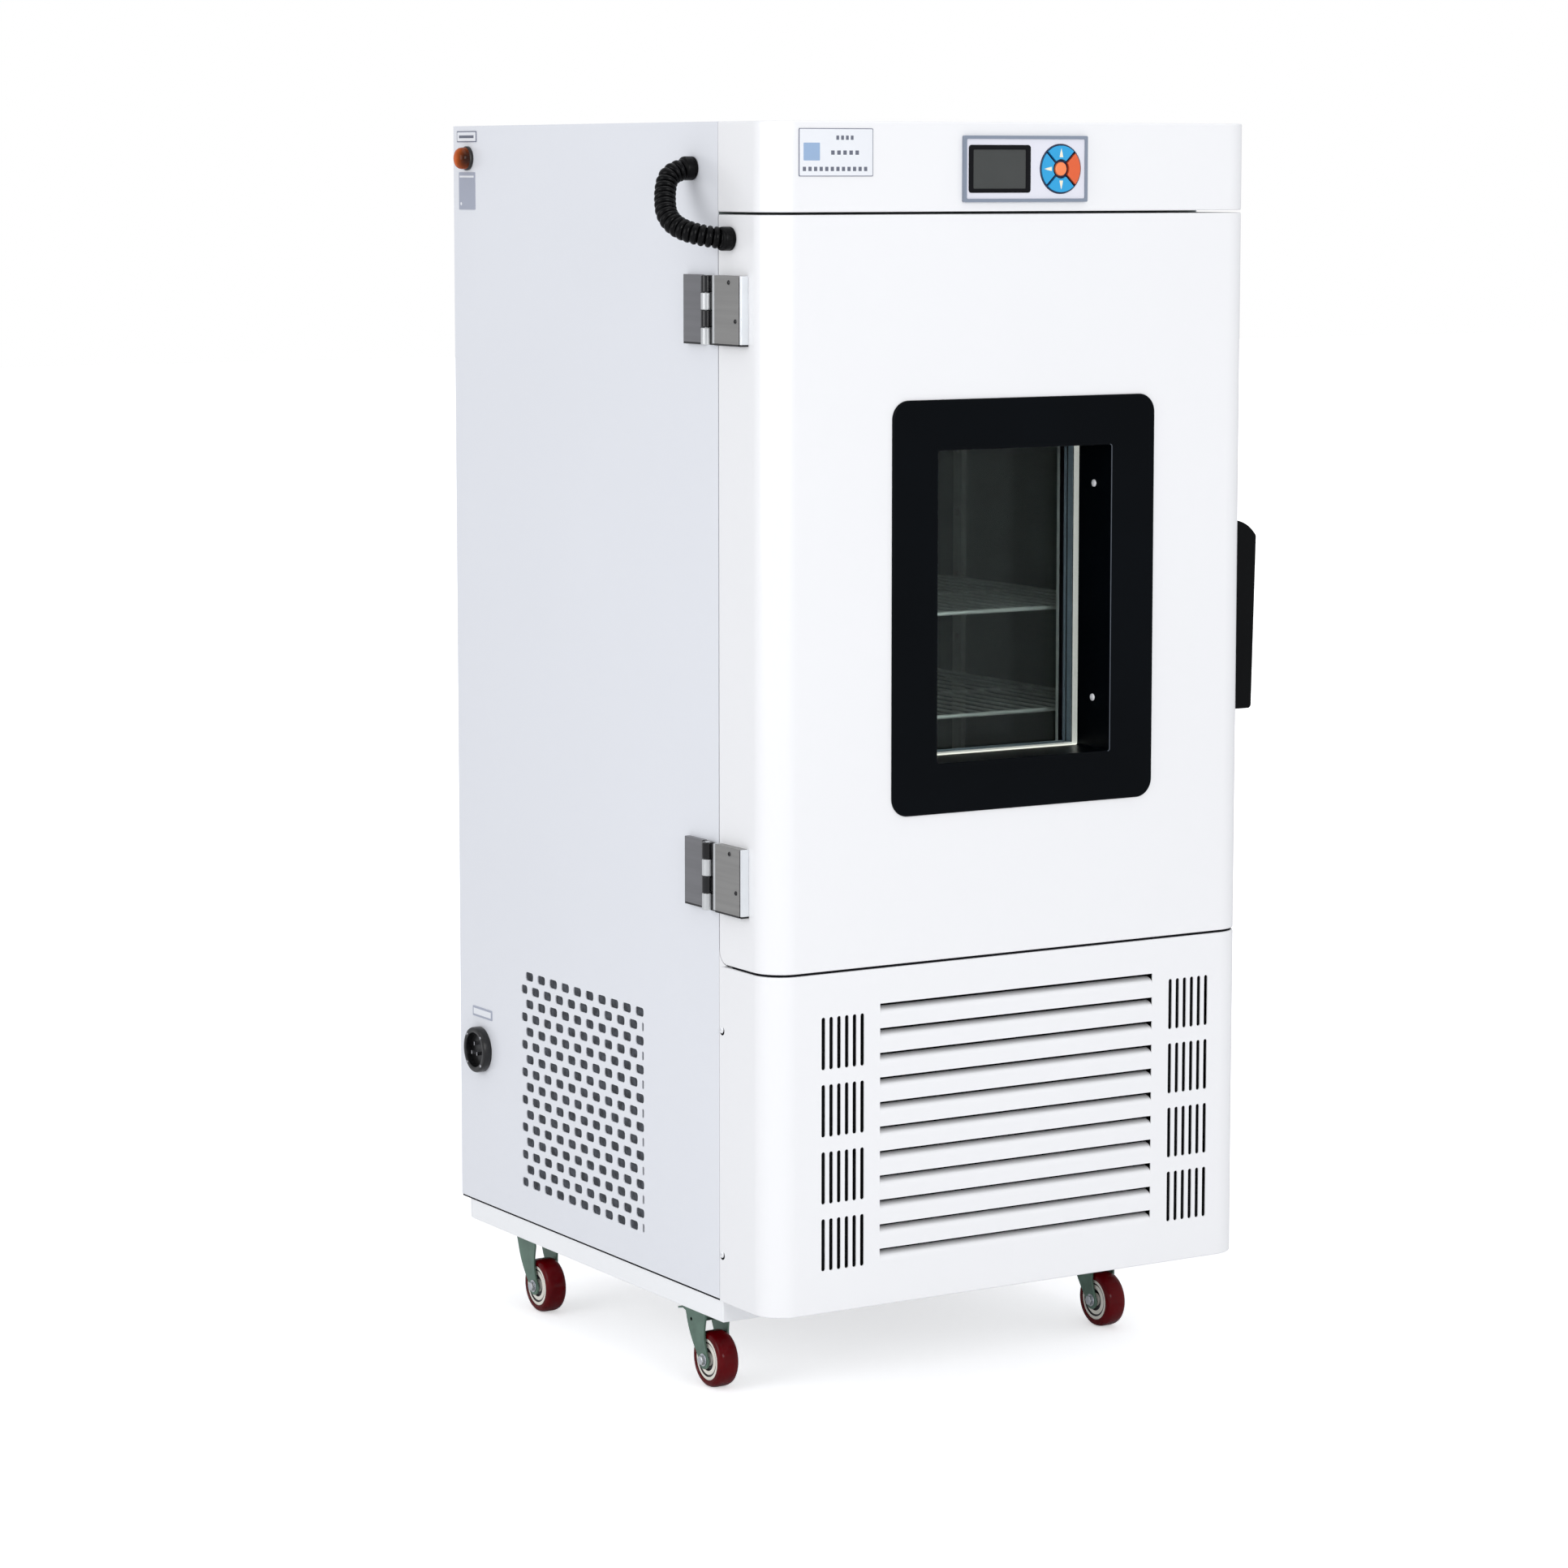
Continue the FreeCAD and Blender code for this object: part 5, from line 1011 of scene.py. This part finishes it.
LAMP_PROFILE = ((0, 16.0), (0.8, 16.5), (3.4, 16.5), (4.2, 15.6), (4.6, 14.9), (9.5, 14.9),
                (13.2, 14.2), (16.0, 12.2), (17.9, 9.0), (18.8, 5.0), (19.0, 1.0))
LAMP_BASE_RINGS = 4
INLET_PROFILE = ((0, 31.6), (0.6, 32.0), (9.4, 32.0), (11.3, 31.2), (12.0, 29.6), (12.0, 25.6),
                 (11.4, 24.4), (9.6, 24.0), (3.2, 23.6))
INLET_PINS = 3
PIN_OFFSET = 9.0
INLET_SCREWS = 4
INLET_SCREW_R = 28.0


def make_lamp():
    middle = centre_of("indicator_lamp")
    steps = 48
    bm = bmesh.new()
    add_turned(bm, (0, middle.y, middle.z), -X_AXIS, LAMP_PROFILE, steps)
    paint_rings(bm, 0, steps, range(LAMP_BASE_RINGS, len(LAMP_PROFILE) - 1), 1)
    bm.faces[-1].material_index = 1
    mesh_piece("lamp_dome", bm, "cabinet", [LAMP_BASE, LAMP_AMBER_PAINTED_SHADE], ["indicator_lamp"], sharp=40)


def make_inlet():
    low = limits("power_inlet")[0]
    middle = centre_of("power_inlet")
    bm = bmesh.new()
    add_turned(bm, (0, middle.y, middle.z), -X_AXIS, INLET_PROFILE, 56)
    for number in range(INLET_PINS):
        angle = math.radians(90 + 360 * number / INLET_PINS)
        y = middle.y + PIN_OFFSET * math.cos(angle)
        z = middle.z + PIN_OFFSET * math.sin(angle)
        add_box(bm, (low.x + 1, y - 1, z - 2.4), (0, y + 1, z + 2.4), 1)
    for number in range(INLET_SCREWS):
        angle = math.radians(45 + 360 * number / INLET_SCREWS)
        place = (low.x, middle.y + INLET_SCREW_R * math.cos(angle),
                 middle.z + INLET_SCREW_R * math.sin(angle))
        add_screw(bm, place, -X_AXIS, 2.0, 1)
    mesh_piece("power_socket", bm, "cabinet", [SOCKET_BLACK, PIN_BRASS], ["power_inlet"],
               sharp=34)


PLATE_T = 1.2
NAMEPLATE = (42.0, 150.0, HEIGHT - 68.0, HEIGHT - 9.0)
SIDE_PLATES = ((DEPTH - 69.0, DEPTH - 12.0, HEIGHT - 22.0, HEIGHT - 7.0),
               (DEPTH - 64.0, DEPTH - 17.0, HEIGHT - 114.0, HEIGHT - 63.0),
               (DEPTH - 96.0, DEPTH - 39.0, 411.0, 425.0))
DASH_ROWS = ((0.76, 0.50, 0.76, 4), (0.45, 0.43, 0.84, 5), (0.11, 0.05, 0.95, 12))
DASH_SHARE = 0.58
DASH_HEIGHT = 0.09


def panel(bm, limits_uv, place, depth, index, margin=0.0, radius=1.2):
    """Thin plate standing a little proud of a flat face."""
    u0, u1, v0, v1 = limits_uv
    outline = round_rectangle(u0 + margin, u1 - margin, v0 + margin, v1 - margin, radius, 3)
    add_block(bm, outline, place, -depth, 0.0, index)


def share(limits_uv, u_low, u_high, v_low, v_high):
    """Part of a plate between shares of its width and height."""
    u0, u1, v0, v1 = limits_uv
    return (u0 + (u1 - u0) * u_low, u0 + (u1 - u0) * u_high,
            v0 + (v1 - v0) * v_low, v0 + (v1 - v0) * v_high)


def make_plates():
    """Blank plates: border, plain field, and bars or a square where lettering would be."""
    bm = bmesh.new()
    panel(bm, NAMEPLATE, on_front, PLATE_T - 0.3, 1)
    panel(bm, NAMEPLATE, on_front, PLATE_T - 0.15, 2, 0.9)
    panel(bm, share(NAMEPLATE, 0.06, 0.28, 0.33, 0.70), on_front, PLATE_T, 3, 0, 1.0)
    for v, start, end, dashes in DASH_ROWS:
        pitch = (end - start) / dashes
        for number in range(dashes):
            dash = share(NAMEPLATE, start + number * pitch,
                         start + (number + DASH_SHARE) * pitch, v, v + DASH_HEIGHT)
            panel(bm, dash, on_front, PLATE_T, 4, 0, 0.4)
    for number, plate in enumerate(SIDE_PLATES):
        panel(bm, plate, on_left, PLATE_T - 0.3, 0 if number else 1)
        if number == 0:
            panel(bm, plate, on_left, PLATE_T - 0.15, 2, 1.4)
            panel(bm, share(plate, 0.12, 0.88, 0.36, 0.62), on_left, PLATE_T, 4, 0, 0.4)
        elif number == 1:
            panel(bm, share(plate, 0.06, 0.94, 0.86, 0.91), on_left, PLATE_T, 2, 0, 0.4)
            panel(bm, share(plate, 0.06, 0.94, 0.08, 0.82), on_left, PLATE_T - 0.15, 0, 0, 1.0)
            middle = (-PLATE_T + 0.3, plate[1] - 7.0, plate[2] + 8.0)
            add_turned(bm, middle, -X_AXIS, ((0, 2.4), (0.4, 2.2)), 16, 2)
        else:
            panel(bm, share(plate, 0.05, 0.95, 0.2, 0.8), on_left, PLATE_T - 0.1, 2, 0, 0.6)
    mesh_piece("blank_plates", bm, "cabinet",
               [PLATE_GREY, PLATE_FRAME, PLATE_WHITE, PLATE_BLUE, PLATE_BAR], ["label_plates"],
               bevel=0.12)


EDGE_SCREWS = ((117.5, 500.0), (117.5, 208.0))
EDGE_SCREW_R = 4.6
REVEAL_SCREWS = ((36.0, 1184.0), (36.0, 904.0))
REVEAL_SCREW_R = 4.8
SHADOW_RING_SHIFT = (-0.6, -1.6)


def make_edge_screws():
    """Screws that hold the lower panel's returns, and those in the window's reveal."""
    bm = bmesh.new()
    # Dark ring, set a little low behind each head: painted shadow under the screw.
    washer = ((0, EDGE_SCREW_R + 0.9), (0.3, EDGE_SCREW_R + 0.7))
    for y, z in EDGE_SCREWS:
        for x, out in ((0, -X_AXIS), (WIDTH, X_AXIS)):
            add_turned(bm, (x, y + SHADOW_RING_SHIFT[0], z + SHADOW_RING_SHIFT[1]), out, washer, 24, 1)
            add_screw(bm, (x, y, z), out, EDGE_SCREW_R)
    mesh_piece("panel_screws", bm, "cabinet", [SCREW_WHITE, PAINTED_SHADE_DARK], sharp=30)
    glass_low, glass_high = limits("glass_panes")
    bm = bmesh.new()
    for y, z in REVEAL_SCREWS:
        add_screw(bm, (glass_high.x - PANE_LAP, y, z), -X_AXIS, REVEAL_SCREW_R)
        add_screw(bm, (glass_low.x + PANE_LAP, y, z), X_AXIS, REVEAL_SCREW_R)
    mesh_piece("reveal_screws", bm, "door", SCREW_WHITE, sharp=30)


# Glazing spacer: white front strip with a painted glow, then seals and blue-grey strips

SPACER_STRIPS = ((0.0, 14.0, 0), (14.0, 16.5, 2), (16.5, 27.0, 1), (27.0, 31.0, 2),
                 (31.0, 36.0, 1))
SPACER_WIDTH = 8.0
SPACER_SILL = 13.4
SEAL_BACK = 0.5


def make_spacer():
    low, high = limits("glazing_spacer")
    bm = bmesh.new()
    for near, far, index in SPACER_STRIPS:
        back = SEAL_BACK if index == 2 else 0.0
        side = SPACER_WIDTH - back
        outer = rectangle(low.x, high.x, low.z, high.z)
        inner = rectangle(low.x + side, high.x - side, low.z + SPACER_SILL - back, high.z - side)
        add_plate(bm, outer, [inner], on_front, low.y + near, low.y + far, index)
    mesh_piece("spacer_strips", bm, "door", [SPACER_WHITE_PAINTED_GLOW, SPACER_BLUE, SPACER_DARK],
               ["glazing_spacer"])


# Controller: bezel, screen and keypad

BEZEL_RIM = 4.2
FACE_DROP = 1.5
LCD_BORDER = (7.0, 7.0, 5.0, 5.7)
LCD_R = 4.0
KEY_R = 29.5
KEY_INNER_R = 12.3
KEY_GAP = 3.4
CENTRE_R = 8.6
KEY_T = 4.0
KEY_TRAVEL = 1.2
KEY_TURNS = {"key_right": 0, "key_up": 90, "key_left": 180, "key_down": 270}
MARKED_KEYS = ("key_up", "key_left", "key_down")
MARK_TIP = 26.5
MARK_FOOT = 14.6
MARK_HALF = 2.9
MARK_HEAD = 5.5
MARK_TAPER = 0.62
KEY_CLEARANCE = 0.15
PAD_RIM = 1.0


def make_bezel():
    low, high = limits("controller_bezel")
    lcd_low, lcd_high = limits("lcd_screen")
    pad_low, pad_high = limits("keypad_base")
    pad = centre_of("keypad_base")
    outer = round_rectangle(low.x, high.x, low.z, high.z, 2.0, 5)
    inner = round_rectangle(low.x + BEZEL_RIM, high.x - BEZEL_RIM, low.z + BEZEL_RIM,
                            high.z - BEZEL_RIM, 1.6, 5)
    screen = round_rectangle(lcd_low.x, lcd_high.x, lcd_low.z, lcd_high.z, LCD_R, 6)
    well = [(p.x, p.z) for p in circle(pad, Y_AXIS, (pad_high.x - pad_low.x) / 2, 56)]
    bm = bmesh.new()
    add_plate(bm, outer, [inner], on_front, low.y, high.y - 0.02)
    add_plate(bm, inner, [screen, well], on_front, low.y + FACE_DROP, low.y + 2 * FACE_DROP, 1)
    mesh_piece("control_bezel", bm, "cabinet", [BEZEL_RIM_PAINT, BEZEL_FACE],
               ["controller_bezel"], bevel=0.35)


def make_screen():
    low, high = limits("lcd_screen")
    left, right, foot, top = LCD_BORDER
    outer = round_rectangle(low.x, high.x, low.z, high.z, LCD_R, 6)
    inner = round_rectangle(low.x + left, high.x - right, low.z + foot, high.z - top, 1.6, 5)
    bm = bmesh.new()
    add_plate(bm, outer, [inner], on_front, low.y, low.y + 3)
    add_block(bm, inner, on_front, low.y + 0.7, low.y + 2.5, 1)
    mesh_piece("display", bm, "cabinet", [SCREEN_BLACK, SCREEN_GLASS], ["lcd_screen"],
               bevel=0.3)


def key_outline():
    """Quarter of a ring about the origin, pointing along +u, with straight sides."""
    shift = KEY_GAP / math.sqrt(2)
    points = []
    ends = []
    for radius in (KEY_R, KEY_INNER_R):
        u = (shift + math.sqrt(2 * radius ** 2 - shift ** 2)) / 2
        ends.append(math.degrees(math.atan2(u - shift, u)))
    points += arc(0, 0, KEY_R, -ends[0], ends[0], 14)
    points += arc(0, 0, KEY_INNER_R, ends[1], -ends[1], 7)
    return points


def turned_outline(points, degrees, centre):
    """Outline turned about the origin and moved to a centre."""
    angle = math.radians(degrees)
    turned = []
    for u, v in points:
        turned.append((centre[0] + u * math.cos(angle) - v * math.sin(angle),
                       centre[1] + u * math.sin(angle) + v * math.cos(angle)))
    return turned


def make_keypad():
    low, high = limits("keypad_base")
    middle = centre_of("keypad_base")
    centre = (middle.x, middle.z)
    radius = (high.x - low.x) / 2
    key_low = limits("key_centre")[0].y
    floor = key_low + KEY_T + KEY_TRAVEL + KEY_CLEARANCE
    start = floor + PAD_RIM
    rim = low.y - start
    bm = bmesh.new()
    profile = ((0, radius - 0.4), (rim + PAD_RIM, radius - 0.4), (rim + 0.4, radius - 0.8),
               (rim, radius - 1.6), (rim, KEY_R + 0.6), (floor - start, KEY_R + 0.5))
    add_turned(bm, (middle.x, start, middle.z), Y_AXIS, profile, 64)
    mesh_piece("keypad_plate", bm, "cabinet", PAD_NAVY, ["keypad_base"], sharp=40)
    neck = (MARK_FOOT + MARK_HEAD, MARK_HALF * MARK_TAPER)
    mark = [(MARK_TIP, 0), neck, (MARK_FOOT, MARK_HALF), (MARK_FOOT, -MARK_HALF),
            (neck[0], -neck[1])]
    for name, turn in KEY_TURNS.items():
        bm = bmesh.new()
        add_block(bm, turned_outline(key_outline(), turn, centre), on_front, key_low,
                  key_low + KEY_T)
        if name in MARKED_KEYS:
            add_block(bm, turned_outline(mark, turn, centre), on_front, key_low - 0.08,
                      key_low + 0.5, 1)
        mesh_piece(name + "_cap", bm, name, [NODE_FINISH[name], KEY_MARK], [name], bevel=0.3)
    bm = bmesh.new()
    profile = ((-KEY_CLEARANCE, CENTRE_R), (0.8 - KEY_T, CENTRE_R), (0.2 - KEY_T, CENTRE_R - 0.5),
               (-KEY_T, CENTRE_R - 1.4))
    add_turned(bm, (middle.x, key_low + KEY_T, middle.z), Y_AXIS, profile, 40)
    mesh_piece("key_centre_cap", bm, "key_centre", KEY_CENTRE, ["key_centre"], sharp=40)


# Casters

WHEEL_W = 30.0
TREAD_PROFILE = ((14.2, 27.6), (15.0, 28.4), (15.0, 31.2), (14.2, 33.8), (12.4, 35.8),
                 (9.6, 37.0), (6.0, 37.5), (0.0, 37.5))
HUB_PROFILE = ((13.2, 28.0), (13.8, 26.6), (13.8, 23.4), (12.6, 22.6), (12.6, 20.8),
               (13.4, 20.0), (13.4, 15.4), (10.4, 13.6), (10.4, 9.0), (12.2, 8.0), (12.2, 4.3))
HUB_SHADE_RINGS = (2, 3, 6, 7)
FORK_GAP = 1.5
FORK_T = 3.0
FORK_TOP = 106.5
FORK_CROWN = 26.0
TRAIL = 25.0
FOOT_R = 12.5
FORK_SHOULDER = 12.0
FRONT_BOW = 7.0
REAR_BOW = 5.0
BOW_STEPS = 10
WASHER_T = 1.2
WASHER_PROFILE = ((0, 8.6), (WASHER_T, 8.6))
NUT_PROFILE = ((0, 6.8), (3.6, 6.8), (4.4, 5.6))
BOLT_START = 3.0
BOLT_PROFILE = ((0, 3.9), (2.0, 3.6))
AXLE_R = 4.0
BRAKE_PIN_R = 3.0
BRAKE_PIN_BACK = 5.5
BRAKE_PIN_UP = 48.5


def add_caster_wheel(bm, centre):
    """Rounded tread, and on each side a moulded hub with painted shade in the grooves round its
    bearing.
    """
    steps = 56
    tread = list(TREAD_PROFILE) + [(-along, radius) for along, radius in TREAD_PROFILE[-2::-1]]
    add_turned(bm, centre, X_AXIS, tread, steps, 0, ends=False)
    for side in (-1, 1):
        hub = [(side * along, radius) for along, radius in HUB_PROFILE]
        before = len(bm.faces)
        add_turned(bm, centre, X_AXIS, hub, steps, 1, ends=False)
        paint_rings(bm, before, steps, HUB_SHADE_RINGS, 2)
    weld(bm, 0.001)


def bowed(start, end, bow):
    """Points from start to end, bowed to the rear between them."""
    points = []
    for step in range(BOW_STEPS + 1):
        part = step / BOW_STEPS
        points.append((start[0] + (end[0] - start[0]) * part + bow * math.sin(math.pi * part),
                       start[1] + (end[1] - start[1]) * part))
    return points


def fork_outline(king_y, axle_y, axle_z):
    """Side view of a pressed leg: wide at the crown, with swept edges and a round foot."""
    shoulder = FORK_TOP - FORK_SHOULDER
    return [(king_y + FORK_CROWN, FORK_TOP), (king_y - FORK_CROWN, FORK_TOP),
            *bowed((king_y - FORK_CROWN - 4, shoulder), (axle_y - FOOT_R, axle_z), FRONT_BOW),
            *arc(axle_y, axle_z, FOOT_R, 198, 342, 10),
            *bowed((axle_y + FOOT_R, axle_z), (king_y + FORK_CROWN - 5, shoulder), REAR_BOW)]


def make_caster(place_name):
    axle = centre_of("caster_wheel_" + place_name)
    king_y = axle.y + TRAIL
    bm = bmesh.new()
    add_caster_wheel(bm, axle)
    mesh_piece("wheel_" + place_name, bm, "wheel_" + place_name,
               [TREAD_RED, HUB_CREAM, HUB_GROOVE_SHADE], ["caster_wheel_" + place_name], sharp=34)

    bm = bmesh.new()
    reach = WHEEL_W / 2 + FORK_GAP
    outline = fork_outline(king_y, axle.y, axle.z)
    for side in (-1, 1):
        near = axle.x + side * reach
        far = near + side * FORK_T
        add_across(bm, outline, near, far)
        out = X_AXIS * side
        washer = Vector((far, axle.y, axle.z))
        add_turned(bm, washer, out, WASHER_PROFILE, 28, 1)
        add_turned(bm, washer + out * WASHER_T, out, NUT_PROFILE, 6, 1)
        add_turned(bm, washer + out * BOLT_START, out, BOLT_PROFILE, 20, 1)
    crown = [(axle.x + u, king_y + v) for u, v in
             round_rectangle(-reach - FORK_T, reach + FORK_T, -FORK_CROWN, FORK_CROWN, 3.0, 4)]
    add_prism(bm, crown, FORK_TOP - FORK_T, FORK_TOP)
    add_rod(bm, (axle.x - reach, axle.y, axle.z), (axle.x + reach, axle.y, axle.z), AXLE_R,
            24, 1)
    if place_name.startswith("front"):
        pin_y = limits("brake_pedal_" + place_name)[0].y + BRAKE_PIN_BACK
        pin_z = axle.z + BRAKE_PIN_UP
        half = reach + FORK_T
        add_rod(bm, (axle.x - half, pin_y, pin_z), (axle.x + half, pin_y, pin_z), BRAKE_PIN_R,
                20, 1)
    mesh_piece("fork_" + place_name, bm, "fork_" + place_name, [FORK_ZINC, SCREW_STEEL],
               ["caster_fork_" + place_name], bevel=0.5, weighted=True)


# Wire shelves

SHELF_ROD_R = 3.0
SHELF_WIRE_R = 2.2
SHELF_PITCH = 27.0


def make_shelf(cad_name):
    """Perimeter rod with wires across it."""
    low, high = limits(cad_name)
    z = high.z - SHELF_ROD_R
    x0, x1 = low.x + SHELF_ROD_R, high.x - SHELF_ROD_R
    y0, y1 = low.y + SHELF_ROD_R, high.y - SHELF_ROD_R
    bm = bmesh.new()
    corners = ((x0, y0), (x1, y0), (x1, y1), (x0, y1))
    for start, end in zip(corners, corners[1:] + corners[:1]):
        add_rod(bm, (*start, z), (*end, z), SHELF_ROD_R, 14)
    middle = (y0 + y1) / 2
    add_rod(bm, (x0, middle, z - 2), (x1, middle, z - 2), SHELF_ROD_R, 14)
    count = int((x1 - x0) / SHELF_PITCH)
    for number in range(1, count + 1):
        x = x0 + (x1 - x0) * number / (count + 1)
        add_rod(bm, (x, y0, z), (x, y1, z), SHELF_WIRE_R, 12)
    mesh_piece("wires_" + cad_name, bm, cad_name, SHELF_STEEL, [cad_name], sharp=50)


make_hose()
make_cuff("cuff_cabinet", "hose_cuff_cabinet", "cabinet")
make_cuff("cuff_door", "hose_cuff_door", "door")
make_hinges()
make_lamp()
make_inlet()
make_plates()
make_edge_screws()
make_spacer()
make_bezel()
make_screen()
make_keypad()
for place_name in CASTERS:
    make_caster(place_name)
for shelf_name in ("shelf_lower", "shelf_upper"):
    make_shelf(shelf_name)


# Stage, light and camera

FLOOR_SIZE = 60.0
FLOOR_NEAR = 0.5
FLOOR_REACH = (0.7, 1.6)
CAMERA_PLACE = (-2927.3, -4848.0, 1585.3)
CAMERA_YAW = 31.306
CAMERA_PITCH = 6.626
CAMERA_LENS = 105.45
CAMERA_SHIFT = -0.05
SKY_STRENGTH = 0.7
LIGHTS = (("key_light", (-0.6, -4.3, 2.2), (0, 0, 0.7), (1.8, 2.0), 54),
          ("side_light", (-4.0, -0.4, 1.9), (0, 0, 0.8), (2.4, 2.4), 38),
          ("top_light", (0.2, -0.4, 4.2), (0, 0, 0.9), (3.0, 3.0), 24))


def stage_material(name, colour, near, far, reach):
    """Pale floor: it keeps the object's shadow, and turns plain white further away."""
    material, tree, shader = new_material(name)
    set_inputs(shader, {"Base Color": linear(colour), "Roughness": 0.9,
                        "Specular IOR Level": 0.1, "Emission Color": linear((255, 255, 255))})
    place = node(tree, "TexCoord")
    away = node(tree, "VectorMath", operation="LENGTH")
    wire(place, "Object", away, 0)
    fade = node(tree, "MapRange", {"From Min": reach[0], "From Max": reach[1],
                                   "To Min": near, "To Max": far})
    wire(away, "Value", fade, "Value")
    ray = node(tree, "LightPath")
    glow = node(tree, "Math", operation="MULTIPLY")
    wire(ray, "Is Camera Ray", glow, 0)
    wire(fade, "Result", glow, 1)
    wire(glow, "Value", shader, "Emission Strength")
    return material


def make_stage():
    bm = bmesh.new()
    half = FLOOR_SIZE / 2
    cap(bm, ring(bm, [(x, y, 0) for x, y in rectangle(-half, half, -half, half)]))
    mesh = bpy.data.meshes.new("floor")
    bm.to_mesh(mesh)
    bm.free()
    floor = add_object("floor", mesh)
    paint = stage_material("floor_paint", (238, 238, 239), FLOOR_NEAR, 1.0, FLOOR_REACH)
    mesh.materials.append(paint)


def make_world():
    world = bpy.data.worlds.new("studio")
    bpy.context.scene.world = world
    world.use_nodes = True
    tree = world.node_tree
    tree.nodes.clear()
    ray = node(tree, "LightPath")
    lit = node(tree, "Background", {"Color": linear((246, 248, 252)), "Strength": SKY_STRENGTH})
    seen = node(tree, "Background", {"Color": (1, 1, 1, 1), "Strength": 1.0})
    mix = node(tree, "MixShader")
    out = node(tree, "OutputWorld")
    either = node(tree, "Math", operation="MAXIMUM")
    wire(ray, "Is Camera Ray", either, 0)
    wire(ray, "Is Transmission Ray", either, 1)
    wire(either, "Value", mix, "Fac")
    wire(lit, "Background", mix, 1)
    wire(seen, "Background", mix, 2)
    wire(mix, "Shader", out, "Surface")


def area_light(name, place, target, size, power):
    data = bpy.data.lights.new(name, "AREA")
    data.shape = "RECTANGLE"
    data.size, data.size_y = size
    data.energy = power
    light = add_object(name, data)
    light.location = place
    aim = Vector(target) - Vector(place)
    light.rotation_euler = aim.to_track_quat("-Z", "Y").to_euler()


def make_camera():
    data = bpy.data.cameras.new("camera")
    data.lens = CAMERA_LENS
    data.sensor_width = 36.0
    data.shift_y = CAMERA_SHIFT
    camera = add_object("camera", data)
    camera.location = CORNER + Vector(CAMERA_PLACE) * MM
    camera.rotation_euler = (math.radians(90 - CAMERA_PITCH), 0, math.radians(-CAMERA_YAW))
    bpy.context.scene.camera = camera


make_stage()
make_world()
for light in LIGHTS:
    area_light(*light)
make_camera()
bpy.context.scene.view_settings.view_transform = "Standard"
